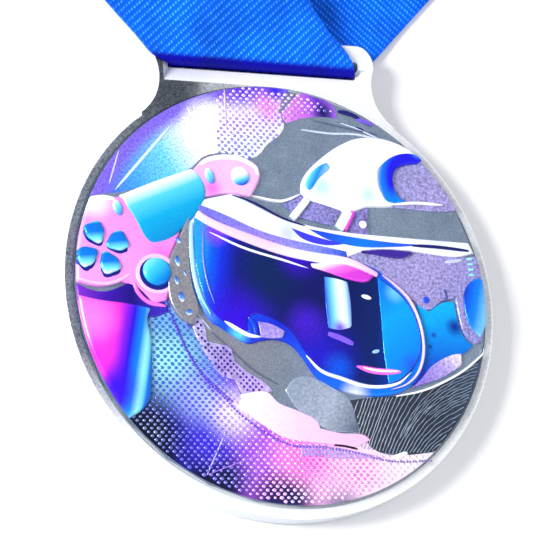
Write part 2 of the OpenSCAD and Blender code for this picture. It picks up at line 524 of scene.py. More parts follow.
def cast_metal(colours):
    """Bead-blasted grey casting with a polish on the slot's bevel and the edges. Painted shade darkens its
    upper left shoulder; painted highlight whitens its right side, its lower part, the bevel, the sloped edges
    and the side walls.
    """
    look = Finish("cast_metal")
    across = look.part(look.place, "X")
    upward = look.part(look.place, "Y")
    beads = look.noise(0.24, 4.0)
    cloud = look.noise(5.0, 2.0)
    bevel_polish_and_highlight = (upward > BEVEL_LOW * MM) * (upward < BEVEL_HIGH * MM)
    facing = look.part(look.node("ShaderNodeTexCoord", output="Normal"), "Z")
    sloped = (facing < LEVEL_FROM) * (facing > SLOPED_FROM)
    sides = (facing < SLOPED_FROM) * (facing > SIDE_FROM)
    # Painted highlight on the slot's bevel, the sloped edges and the side walls, mixed into the base colour
    # below. The bevel and edges are also polished, with less roughness and less metal.
    polish_and_painted_highlight = (bevel_polish_and_highlight * sloped).larger(sloped * 0.8).larger(sides * 0.3)
    right = look.rise(across + (cloud - 0.5) * (10 * MM), -13 * MM, 1 * MM, soft=True)
    loop = look.rise(upward, 20 * MM, 26 * MM)
    low = look.rise(upward, -8 * MM, -19 * MM)
    grey = deeper(colours.metal, 0.62)
    # Painted shade: the upper left shoulder round the loop is darkened.
    base = look.mix(loop * (1 - right), grey, deeper(colours.metal, 0.25))
    # Painted highlight: the right side and the lower part turn near white, with less metal and less bead
    # grain.
    painted_highlight = (right * (0.75 + loop * 0.25)).larger(low) * (facing > SIDE_FROM)
    base = look.mix(facing < SIDE_FROM, base, grey)
    base = look.mix(painted_highlight, base, tint(240, 242, 246))
    # Painted highlight: the bevel and the sloped edges turn white.
    base = look.mix(polish_and_painted_highlight, base, tint(250, 251, 253))
    # Painted highlight: the side walls turn pale.
    base = look.mix(sides, base, tint(206, 211, 220))
    sparkle = (1 - painted_highlight * 0.9) * (1 - polish_and_painted_highlight)
    look.feed("Base Color", look.scaled(base, 1 + (beads - 0.5) * (sparkle * 2.6)))
    look.feed("Metallic", (0.9 - polish_and_painted_highlight * 0.6) * (1 - painted_highlight * 0.6))
    look.feed("Roughness", (0.42 + (beads - 0.5) * 0.3) * (1 - polish_and_painted_highlight * 0.4))
    look.bump(beads, 0.3, 0.06)
    return look.material


def bare_plate(colours):
    """The art plate's unprinted ground: grey metal with a fine grain."""
    look = Finish("bare_plate", Metallic=0.7)
    grain = look.noise(0.2, 4.0)
    cloud = look.noise(4.0, 3.0)
    shade = look.mix(cloud, tint(112, 130, 152), tint(158, 174, 196))
    warm = look.near(-9, -4, 16)
    shade = look.mix(warm * 0.7, shade, tint(160, 154, 160))
    look.feed("Base Color", look.scaled(shade, 1 + (grain - 0.5) * 1.2))
    look.feed("Roughness", 0.4 + (grain - 0.5) * 0.3)
    look.bump(grain, 0.4, 0.06)
    return look.material


def finish_metal(colours):
    """Gives the cast body and the film under the plate their finishes."""
    dress("medal_body", cast_metal(colours))
    film = Finish("clear_film", Roughness=0.25)
    film.feed("Base Color", film.mix(film.noise(1.5), tint(226, 226, 220), tint(240, 240, 236)))
    dress("plate_adhesive", film.material)


def dress(node, material):
    """Gives a CAD node its finish."""
    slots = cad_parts[node].data.materials
    slots.clear()
    slots.append(material)


# ---------------------------------------------------------------- the art plate's ground and its zones

PALE_RING = [
    (-16.1, 2.9), (-16.4, 0), (-15.9, -2.6), (-14, -4), (-12.6, -6.4), (-10.4, -10.2), (-8.2, -12.4),
    (-7.6, -14), (-4, -13.8), (-2.5, -15.2), (0, -16.2), (2.7, -17.7), (3, -18.6), (6, -19.1), (9, -19.4),
    (9.6, -20.6), (11.7, -21.7), (18.75, -21.4),
]
COMBED = [
    (18.7, -21.3), (11.7, -21.6), (7.9, -21), (8.3, -19), (7.3, -14.6), (10.5, -14.2), (14.6, -13.8),
    (19.8, -12.4), (24, -10.3), (28.2, -7.4),
]
DOTTED_CORNER = [
    (-8.4, 17.2), (-8.2, 27), (-4, 28.4), (0.6, 28.2), (2.6, 28), (4.6, 27.8), (9, 26), (9.2, 24.7),
    (6.9, 24.9), (2, 23.2), (0.5, 21.2), (-1, 19.8), (-3, 17.9),
]


def lay_strokes(name, top, taper, rows):
    """Makes thin numbered strokes from rows of path, width and plain colour."""
    for n, (path, width, colour) in enumerate(rows):
        relief(f"{name}_{n}", stroke(path, width, taper), top, plain_ink(f"{name}_{n}", colour), edge=0.1)


def make_ground(colours):
    """The plate's bare ground with its printed zones and thin strokes, and a painted highlight in the upper
    left corner.
    """
    disc = relief("plate_ground", oval(0, 0, 2 * PLATE_RADIUS, 2 * PLATE_RADIUS), 0.0, bare_plate(colours),
                  low=PLATE_TOP - PLATE_THICKNESS - GROUND, edge=0.25, pitch=2.4)
    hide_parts("art_plate")
    # Painted highlight: the white spots near (-9, 22.4) and (-3, 19.5), and the white end of the ramp under
    # them, stand for light reflected off the metallic ink.
    glow = ink("corner_glow", (-22, 11), (-5, 20), [
        (0, (60, 120, 246)), (0.2, (70, 160, 255)), (0.46, (110, 206, 246)), (0.66, (226, 246, 255)),
        (0.75, (255, 255, 255)), (1, (244, 240, 255)),
    ], spots=[
        (-9, 22.4, 4.9, (255, 255, 255), 0.7), (-3.5, 28.5, 5.2, (100, 50, 220)),
        (-0.4, 25.6, 3.2, (240, 130, 240)), (0.6, 27.9, 2.2, (60, 40, 226)), (-3, 19.5, 4, (240, 244, 255)),
    ], border=(27.6, 0.1, (124, 100, 226)), grain=0.3, grain_mm=0.3)
    corner = [
        (-26.6, 11), (-24.6, 12), (-22, 12.4), (-12.1, 16.2), (-10, 18), (-7, 18.6), (-4, 18),
        (-2.4, 18.6), (-1, 20.2), (0.8, 21.6), (1.6, 23), (1.1, 25), (1.9, 27), (3, 28.6),
    ]
    relief("corner_glow_zone", smooth(corner + round_face(84, 157)), 0.05, glow, edge=0.12)
    violet_patch = ink(
        "violet_patch", (0.6, 24), (9.2, 26.5),
        [(0, (246, 150, 240)), (0.5, (190, 100, 236)), (0.75, (90, 50, 190)), (1, (170, 110, 236))],
        spots=[(7.4, 25.3, 2.1, (20, 20, 90))], grain=0.14,
    )
    relief("violet_patch_zone", smooth([
        (2.3, 25.9), (3.3, 27.1), (4.6, 27.9), (6, 27.5), (8.3, 26.9), (9.2, 26), (9.4, 24.5), (6.9, 24.6),
        (4.2, 24.2), (1.9, 23.4), (1.3, 24.6),
    ]), 0.07, violet_patch, edge=0.12)
    lay_strokes("sky_stroke", 0.12, 0.5, [
        ([(9.6, 25.6), (11, 25.4), (12.7, 24.7)], 0.6, (30, 30, 110)),
        ([(12.1, 24.6), (13.2, 24.4), (14.6, 23.9)], 0.5, (120, 90, 220)),
        ([(11.8, 23.4), (12.6, 23.2), (13.4, 22.8)], 0.4, (30, 34, 120)),
        ([(9.8, 23.9), (12.5, 23.1), (16.5, 21.3)], 0.25, (196, 206, 226)),
        ([(4, 22.6), (8, 22.3), (12, 22.4), (16, 21.6)], 0.3, (206, 214, 232)),
        ([(6, 24), (10, 23.3), (15, 22.6)], 0.22, (86, 98, 130)),
    ])
    lay_strokes("corner_streak", 0.11, 0.9, [
        ([(-14.3, 22.1), (-18.5, 17.3), (-22.6, 12.6)], 0.4, (214, 240, 255)),
        ([(-21.6, 18.3), (-23.3, 13.3)], 0.25, (190, 200, 255)),
        ([(-6.5, 27.9), (-6.7, 21.7)], 0.3, (214, 200, 255)),
        ([(-12, 25), (-9.6, 19.6)], 0.2, (220, 234, 255)),
        ([(-8.6, 24.3), (-3.6, 23.9)], 0.2, (235, 235, 255)),
    ])
    pale = ink("night_band", (-24, -16), (16, -24), [
        (0, (12, 14, 70)), (0.14, (24, 26, 130)), (0.3, (60, 44, 216)), (0.5, (186, 96, 232)),
        (0.62, (246, 150, 232)), (0.8, (255, 214, 246)), (1, (236, 226, 244)),
    ], spots=[
        (-17, -9.5, 8.5, (170, 236, 255)), (-13, -14.5, 5.4, (170, 190, 255)),
        (-21, -20.5, 7.5, (8, 12, 44), 0.6), (-12, -25.6, 6.5, (12, 16, 60), 0.7),
        (-12, -21, 4, (60, 40, 210)), (-3, -28, 6, (30, 30, 90), 0.7), (5, -29.4, 5, (90, 90, 140)),
        (-9, -16.5, 5, (246, 236, 255)), (-1, -22.2, 4.6, (250, 130, 226)), (-16.5, -4, 4, (120, 180, 255)),
    ], grain=0.1)
    relief("night_band_zone", smooth(round_face(312, 186) + PALE_RING, corner=40), 0.05, pale, edge=0.12)
    slate = ink("combed_ground", (8, -16), (27, -12), [
        (0, (60, 66, 80)), (0.6, (50, 58, 74)), (1, (70, 84, 108)),
    ], grain=0.16, metal=0.5)
    relief("combed_ground_zone", smooth(COMBED + round_face(*COMB_ARC), corner=40), 0.04, slate, edge=0.12)


def rows_of_points(region, pitch, row, height, margin=0.35):
    """Staggered rows of points over a closed region of the face."""
    low, high = region.min(0), region.max(0)
    points = []
    for k, y in enumerate(np.arange(low[1], high[1], row)):
        x = np.arange(low[0] + (k % 2) * pitch / 2, high[0], pitch)
        points.append(np.stack([x, np.full(len(x), y)], 1))
    grid = np.vstack(points)
    grid = grid[inside(grid, region)]
    grid = grid[edge_distance(grid, region) > margin]
    return [(x * MM, y * MM, (GROUND + height) * MM) for x, y in grid]


def make_dots(sizes):
    """Two fields of staggered raised dots, printed with the ground under them."""
    night = round_face(308, 190) + PALE_RING[1:13] + [(4, -20.4), (9, -21.4), (17.5, -21.6)]
    fields = [
        ("corner_dots", smooth(DOTTED_CORNER), (-4, 28.5), (-2, 17), [
            (0, (206, 186, 255)), (0.3, (226, 190, 255)), (0.45, (176, 130, 230)), (0.7, (150, 156, 224)),
            (1, (104, 104, 206)),
        ], [(0.6, 17.6, 3.4, (40, 40, 140)), (7.5, 25.4, 1.8, (90, 90, 190))]),
        ("night_dots", smooth(night, corner=40), (-24, -16), (16, -24), [
            (0, (60, 70, 130)), (0.16, (70, 80, 200)), (0.34, (120, 110, 246)), (0.52, (236, 170, 250)),
            (0.7, (255, 210, 248)), (1, (255, 236, 252)),
        ], [
            (-16.5, -8.5, 8, (50, 130, 190)), (-13.6, -14.4, 6, (90, 90, 214)),
            (-20.5, -19, 6, (120, 134, 180)), (-10, -24.5, 5.5, (120, 120, 220)),
            (-7.5, -16.5, 4.6, (226, 190, 250)), (2, -22.6, 5, (226, 90, 200)),
            (8, -24, 6, (236, 120, 214)), (0, -28.6, 4, (200, 200, 230)),
        ]),
    ]
    for name, region, start, end, stops, spots in fields:
        finish = ink(name, start, end, stops, spots=spots, metal=0.45, rough=0.22, grain=0.04)
        holder = points_object(name, rows_of_points(region, sizes.dot_pitch / MM, sizes.dot_row / MM, 0.05))
        grow(name, holder, dot_tree(finish), {
            "Width": sizes.dot_width, "Height": sizes.dot_width * 0.32, "Length share": 1.15,
            "Seed": sizes.seed,
        }, "medal")


def comb_direction(x):
    """Which way the combed lines run at a distance right of the centre."""
    turn = np.interp(x, [8, 12, 16, 20, 25, 29], [66, 63, 52, 32, 18, 12])
    return np.array([math.cos(math.radians(turn)), math.sin(math.radians(turn))])


def is_near(point, others, distance):
    """Whether any of the other points lies closer than the distance."""
    return len(others) > 0 and ((others - point) ** 2).sum(1).min() < distance**2


def make_combed_field(sizes):
    """Fine combed lines that swing round from steep to nearly level, kept an even distance apart."""
    region = keep_on_face(smooth(COMBED + round_face(*COMB_ARC), corner=40), FACE_RADIUS - 0.2)
    pitch = sizes.comb_pitch / MM
    step, seed_grid, most_steps, least_steps = 0.35, 0.5, 60, 5
    low, high = region.min(0), region.max(0)
    drawn = np.zeros((0, 2))
    points, edges = [], []
    for x in np.arange(low[0], high[0], seed_grid):
        for y in np.arange(low[1], high[1], seed_grid):
            seed = np.array([x, y])
            if not inside(seed[None], region)[0] or is_near(seed, drawn, pitch):
                continue
            line = []
            for sense in (-1, 1):
                p, part = seed.copy(), []
                while len(part) < most_steps and inside(p[None], region)[0]:
                    if is_near(p, drawn, 0.6 * pitch):
                        break
                    part.append(p.copy())
                    p = p + sense * step * comb_direction(p[0])
                line = part[::-1] if sense == -1 else line + part[1:]
            if len(line) < least_steps:
                continue
            drawn = np.vstack([drawn, line])
            first = len(points)
            for n, (px, py) in enumerate(line):
                wave = 0.06 * math.sin(n * 0.9 + first * 0.7)
                points.append((px * MM, (py + wave) * MM, (GROUND + 0.08) * MM))
            edges += [(i, i + 1) for i in range(first, len(points) - 1)]
    finish = ink("combed_lines", (8, -14), (27, -14), [
        (0, (176, 186, 204)), (0.5, (140, 154, 176)), (1, (130, 146, 172)),
    ], metal=0.5, grain=0.3, grain_mm=0.8)
    grow("combed_lines", points_object("combed_lines", points, edges), line_tree(finish),
         {"Width": sizes.comb_pitch * 0.42}, "medal")


# ---------------------------------------------------------------- the picture: swirl, pad and headset

def lay(pieces):
    """Makes raised pieces from rows of name, outline, top, finish or plain colour, then edge and crown."""
    for name, outline, top, finish, *shape in pieces:
        if isinstance(finish, tuple):
            finish = plain_ink(name, finish)
        relief(name, outline, top, finish, **dict(zip(("edge", "crown"), shape)))


VIOLET_BAND = [
    (-13.5, -3.5), (-12, -4.5), (-11.5, -7.2), (-8.3, -7.8), (-8, -9.5), (-6.5, -11), (-4, -12.6),
    (-3.1, -13.6), (-5, -13.9), (-7.5, -13.9), (-8.2, -12.2), (-10, -11.6), (-12, -8.7), (-13.2, -6),
]


def make_swirl():
    """The rings that curl round the headset."""
    violet = ink("swirl_violet", (-14, -4), (-4, -14), [
        (0, (196, 190, 232)), (0.5, (166, 148, 214)), (1, (196, 176, 230)),
    ], grain=0.26, grain_mm=0.45)
    pale = ink("swirl_pale", (-8, -15), (9, -20), [
        (0, (250, 240, 252)), (0.5, (250, 206, 244)), (1, (244, 190, 240)),
    ], grain=0.05)
    lilac = ink("swirl_lilac", (0, -21), (12, -23), [(0, (166, 140, 220)), (1, (196, 170, 226))], grain=0.26)
    brushed = ink("swirl_brushed", (-1, -13), (8, -18), [
        (0, (156, 168, 192)), (0.6, (176, 188, 210)), (1, (110, 122, 146)),
    ], grain=0.2, metal=0.5)
    lay([
        ("swirl_violet_band", smooth(VIOLET_BAND), 0.16, violet, 0.15),
        ("swirl_brushed_patch", smooth([
            (-1.5, -13.4), (0, -11.8), (2.1, -11.6), (5.2, -13), (7.3, -14.5), (8.2, -18.8), (4.2, -18.7),
            (2.1, -17.4), (0, -15.9),
        ]), 0.14, brushed, 0.15),
        ("swirl_upper_band", smooth([
            (-7.5, -14), (-4, -13.7), (-2.5, -15.1), (0, -16.1), (2.7, -17.6), (2.9, -18.4), (5.8, -19),
            (9, -19.25), (9.8, -19.9), (7.1, -20.9), (4.8, -20.5), (0, -20.1), (-2, -19.7), (-5, -18),
            (-8, -15.8),
        ]), 0.2, pale, 0.2),
        ("swirl_lilac_band", smooth([
            (0, -20.5), (4.2, -20.8), (11.9, -22.2), (6.25, -22.4), (0, -22),
        ]), 0.14, lilac, 0.15),
        ("swirl_black_stroke", stroke([(4.6, -20.6), (6, -20.7), (7.8, -21.1)], 0.28), 0.24,
         plain_ink("swirl_black", (16, 14, 40)), 0.12),
        ("swirl_white_bar", stroke([(12.5, -22.3), (14.8, -21.5)], 0.6), 0.2, plain_ink("swirl_white", WHITE),
         0.15),
        ("swirl_ray_steep", stroke([
            (-9.8, -18.6), (-11.3, -21.5), (-12.9, -24.5),
        ], 0.18), 0.16, plain_ink("swirl_ray", (206, 190, 255)), 0.12),
        ("swirl_ray_flat", stroke([
            (-12.9, -24.5), (-7, -22.4), (-1.1, -20.5),
        ], 0.13), 0.14, (206, 140, 246), 0.1),
        ("swirl_ring_line", stroke([
            (-11.9, 11.4), (-14, 8), (-15.2, 4), (-15.5, 0), (-14.8, -3), (-13.8, -5.6),
        ], 0.3), 0.2, ink("swirl_ring", (-12, 11), (-14, -6), [
            (0, (60, 74, 100)), (0.6, (50, 60, 100)), (1, (90, 60, 190)),
        ]), 0.12),
        ("swirl_inner_line", stroke([
            (-13.2, 8), (-13.9, 4), (-13.8, 0), (-12.8, -3.2), (-11, -5.6),
        ], 0.18), 0.18, plain_ink("swirl_inner", (196, 208, 226)), 0.08),
        ("swirl_low_line", stroke([
            (-10.8, -6), (-8.6, -8), (-5.6, -10.8), (-2.4, -12.7),
        ], 0.16), 0.18, plain_ink("swirl_low", (96, 98, 126)), 0.08),
    ])
    grey = ink("swirl_grey", (-15, 0), (-11, 0), [
        (0, (150, 150, 160)), (1, (168, 162, 168)),
    ], metal=0.6, grain=0.2)
    relief("swirl_cover", smooth([
        (-11.8, 11.6), (-13.3, 9.2), (-14.6, 6.3), (-15.6, 4.4), (-16.2, 2.9), (-16.5, 0), (-16.2, -2.4),
        (-15, -4.4), (-13.6, -5.2), (-12.6, -3.4), (-13.2, 0), (-13.4, 3), (-13.3, 7), (-12.7, 9.6),
    ]), 0.74, grey, edge=0.3)
    for n, (x, y, wide, tall) in enumerate([
        (-15, 3.2, 0.7, 1.5), (-15.3, 0.6, 0.6, 1.2), (-14.6, 6, 0.5, 0.9), (-14.8, -1.6, 0.8, 1.4),
        (-13.9, -3.6, 1.0, 0.8), (-14.1, 1.6, 0.4, 0.8),
    ]):
        hole = ink(f"swirl_hole_{n}", (x, y + tall / 2), (x, y - tall / 2), [
            (0, (20, 40, 130)), (0.6, (90, 150, 240)), (1, WHITE),
        ])
        relief(f"swirl_hole_{n}", oval(x, y, wide, tall, 10), 0.8, hole, edge=0.15)
    outer = [
        (-16.9, 6), (-16.9, 0), (-16.2, -3.7), (-15.3, -6.2), (-14, -9.3), (-12.2, -12.2), (-9.8, -14.6),
        (-8.3, -16.3), (-5.7, -18.4), (-3.6, -19.7), (-1, -20.7), (3, -20.9), (7, -21.5), (12, -22.6),
        (18, -22.6),
    ]
    inner = [(-15.7, -4.8), (-14.4, -8.4), (-12.6, -11.4), (-10.6, -13.4), (-8.9, -15)]
    points = []
    for arc in (outer, inner):
        line = smooth(arc, closed=False, step=0.42)
        points += [(x * MM, y * MM, (GROUND + 0.1) * MM) for x, y in line]
    finish = ink("swirl_beads", (-16, 0), (16, -22), [
        (0, (76, 56, 190)), (0.5, (110, 60, 220)), (1, (120, 110, 160)),
    ])
    grow("swirl_beads", points_object("swirl_beads", points), dot_tree(finish),
         {"Width": 0.36 * MM, "Height": 0.12 * MM, "Length share": 1.0, "Seed": 3}, "medal")
    specks = rows_of_points(smooth(VIOLET_BAND), 0.8, 0.42, 0.15)
    dark = ink("swirl_specks", (-12, -4), (-4, -14), [
        (0, (50, 40, 130)), (0.5, (60, 30, 140)), (1, (90, 50, 160)),
    ])
    grow("swirl_specks", points_object("swirl_specks", specks), dot_tree(dark),
         {"Width": 0.4 * MM, "Height": 0.1 * MM, "Length share": 1.0, "Seed": 5}, "medal")


OVAL_STOPS = [(0, WHITE), (0.4, (120, 220, 255)), (1, (60, 130, 236))]


def make_pad():
    """The game pad: pink shell, blue touch plate, buttons, stick and grip."""
    face = ink("pad_pink", (-27, 4), (-6, 15), [
        (0, (255, 156, 238)), (0.45, (255, 140, 234)), (0.7, (250, 170, 240)), (1, (255, 190, 244)),
    ], spots=[
        (-25.5, 11, 3.2, WHITE), (-17, 3.6, 2.6, (240, 110, 222)), (-22.5, -1, 2.2, (226, 110, 226)),
        (-9.5, 13.4, 2, (240, 120, 224)), (-12.6, 9.4, 2, (255, 140, 232)),
    ], grain=0.04)
    touch = ink("pad_touch_blue", (-17.4, 14.4), (-14.2, 7), [
        (0, WHITE), (0.12, (230, 248, 255)), (0.3, (80, 206, 236)), (0.6, (0, 168, 222)), (1, (0, 140, 210)),
    ], grain=0.05)
    grip = ink("pad_grip", (-28, -7), (-19.1, -9), [
        (0, (255, 100, 226)), (0.4, (250, 50, 214)), (0.56, (130, 20, 226)), (0.66, (30, 10, 220)),
        (0.8, (0, 130, 250)), (0.9, (150, 240, 255)), (0.95, (120, 220, 255)), (1, (20, 120, 230)),
    ], spots=[
        (-24.4, -13.6, 4.6, (50, 6, 216)), (-26.5, -4.5, 4.2, (255, 120, 232)),
        (-27, -9.5, 3.2, (236, 30, 206)),
    ], grain=0.03)
    shadow = ink("pad_shadow", (-28, -1), (-17, -3), [
        (0, (120, 40, 200)), (0.3, (60, 10, 170)), (0.6, (20, 6, 120)), (1, (60, 40, 190)),
    ])
    # The plain white ink here is printed white used also as a painted highlight for the pad's rims.
    well, white = plain_ink("pad_well", (10, 30, 130)), plain_ink("pad_white", WHITE, grain=0.02)
    dome = ink("pad_stick", (-19, 3.2), (-16.6, 0), [
        (0, (120, 230, 255)), (0.3, (60, 200, 250)), (0.7, (0, 150, 236)), (1, (0, 80, 200)),
    ], grain=0.02)
    pink_line = plain_ink("pad_pink_line", (255, 120, 226))
    lay([
        ("pad_shadow", smooth([
            (-28.4, 0), (-26.7, -0.8), (-24.8, -1), (-22.9, -0.4), (-21, 0.6), (-19, -1), (-17, -2.2),
            (-16.4, -3.4), (-18.6, -4.2), (-22, -3.2), (-25.8, -2.6), (-28.6, -2.2),
        ]), 0.3, shadow),
        ("pad_face", smooth([
            (-28.4, 0.2), (-28, 6), (-26.4, 11.2), (-24.5, 11.9), (-22.3, 11.7), (-21, 11.9), (-12.1, 15.8),
            (-10, 17.7), (-7, 18.3), (-5, 18.1), (-2.9, 17.1), (-2.5, 15.8), (-3.1, 14.2), (-4.1, 12.5),
            (-7, 12.9), (-10, 12.3), (-11.7, 11.7), (-13.3, 9.2), (-14.6, 6.3), (-15.4, 4.6), (-16.1, 2.9),
            (-16.2, 0), (-16.6, -2), (-18.4, -2.6), (-20.6, -0.4), (-22.9, 0.2), (-24.8, -0.4), (-26.7, -0.3),
        ]), 0.5, face, 0.45, 0.12),
        ("pad_touch_plate", smooth([
            (-22, 11.9), (-17, 14.1), (-12.1, 16), (-11.1, 15.1), (-10.4, 12.9), (-12, 9.6), (-13.6, 8),
            (-15, 6.7), (-16.7, 5.8), (-18.3, 5.4), (-19.2, 6.3), (-20.3, 8.6), (-21.3, 10.4),
        ]), 0.68, touch, 0.35, 0.1),
        ("pad_grip", smooth([
            (-28.6, -1.4), (-25.8, -2), (-21.3, -2.5), (-18.7, -3), (-19.3, -4.4), (-19.0, -7),
            (-19.2, -11.3), (-19.8, -15.1), (-21, -16.5), (-22.6, -17.4), (-24.5, -15.2), (-26.6, -11),
            (-28.3, -6),
        ]), 0.5, grip, 0.7, 0.25),
        ("pad_left_oval", oval(-22.5, 10.1, 1.3, 2.3, 14), 0.76,
         ink("pad_left_oval", (-22.8, 11.2), (-22.1, 9), OVAL_STOPS, grain=0.02), 0.4, 0.1),
        ("pad_right_oval", oval(-9.7, 15.1, 1.3, 2.3, 14), 0.76,
         ink("pad_right_oval", (-10, 16.2), (-9.3, 14), OVAL_STOPS, grain=0.02), 0.4, 0.1),
        ("pad_stick_ring", oval(-17.9, 1.5, 5.8, 5.6), 0.62, plain_ink("pad_ring", (255, 196, 246)), 0.35),
        ("pad_stick_well", oval(-17.9, 1.4, 4.7, 4.5), 0.66, well, 0.2),
        ("pad_stick", oval(-17.8, 1.7, 4.0, 3.9), 0.9, dome, 0.6, 0.2),
        ("pad_stick_sweep", stroke([
            (-21, 0.5), (-20.5, -1), (-19.2, -2.3), (-16.9, -2.8),
        ], 0.5), 0.62, pink_line, 0.2),
        ("pad_small_dome", oval(-5.45, 15.3, 3.0, 3.0), 0.8,
         ink("pad_small_dome", (-5.9, 16.8), (-5.1, 13.9), [
             (0, WHITE), (0.45, WHITE), (0.7, (110, 210, 255)), (0.88, (0, 110, 236)), (1, (20, 40, 170)),
         ], grain=0.02), 0.8, 0.1),
        # Printed white strokes along the pad's upper and left edges, also a painted highlight for light on
        # the raised rim.
        ("pad_upper_rim", stroke([
            (-10.9, 16.6), (-9.6, 17.4), (-7, 17.9), (-4.8, 17.6), (-3.1, 16.6), (-2.9, 15.4),
        ], 0.8), 0.62, white, 0.3),
        ("pad_left_rim", stroke([
            (-27.6, 8.4), (-26.2, 10.9), (-24.6, 11.4), (-22.6, 11.3),
        ], 0.8), 0.62, white, 0.3),
        ("pad_low_rim", stroke([
            (-28.2, 0.5), (-26.7, 0.1), (-24.8, -0.1), (-22.9, 0.4), (-21.2, 1.4),
        ], 0.45), 0.64, (255, 190, 246), 0.2),
    ])
    for n, (x, y) in enumerate([(-25.7, 6.6), (-22.9, 5.5), (-26.9, 3.5), (-24.1, 2.7)]):
        relief(f"pad_key_well_{n}", key_shape(x, y - 0.45, 1.1), 0.62, well, edge=0.2)
        key = ink(f"pad_key_{n}", (x, y + 1.4), (x + 0.3, y - 1.4), [
            (0, (60, 200, 240)), (0.12, (0, 110, 214)), (0.5, (0, 120, 226)), (0.8, (110, 226, 255)),
            (1, (210, 250, 255)),
        ], grain=0.08)
        relief(f"pad_key_{n}", key_shape(x, y, 1.08), 0.9, key, edge=0.35, crown=0.1)


def key_shape(x, y, size):
    """A direction key: a rounded house shape that points to the middle of the cross."""
    middle = np.array([-24.9, 4.6])
    toward = middle - (x, y)
    toward = toward / np.linalg.norm(toward)
    side = np.array([-toward[1], toward[0]])
    corners = [np.array(c) for c in [
        (-1.3, -1.1), (-1.3, 1.1), (0.1, 1.25), (1.4, 0.3), (1.4, -0.3), (0.1, -1.25),
    ]]
    outline = []
    for start, end in zip(corners, corners[1:] + corners[:1]):
        outline += [start + share * (end - start) for share in (0.2, 0.5, 0.8)]
    return smooth([(x, y) + size * (a * toward + b * side) for a, b in outline], corner=80)


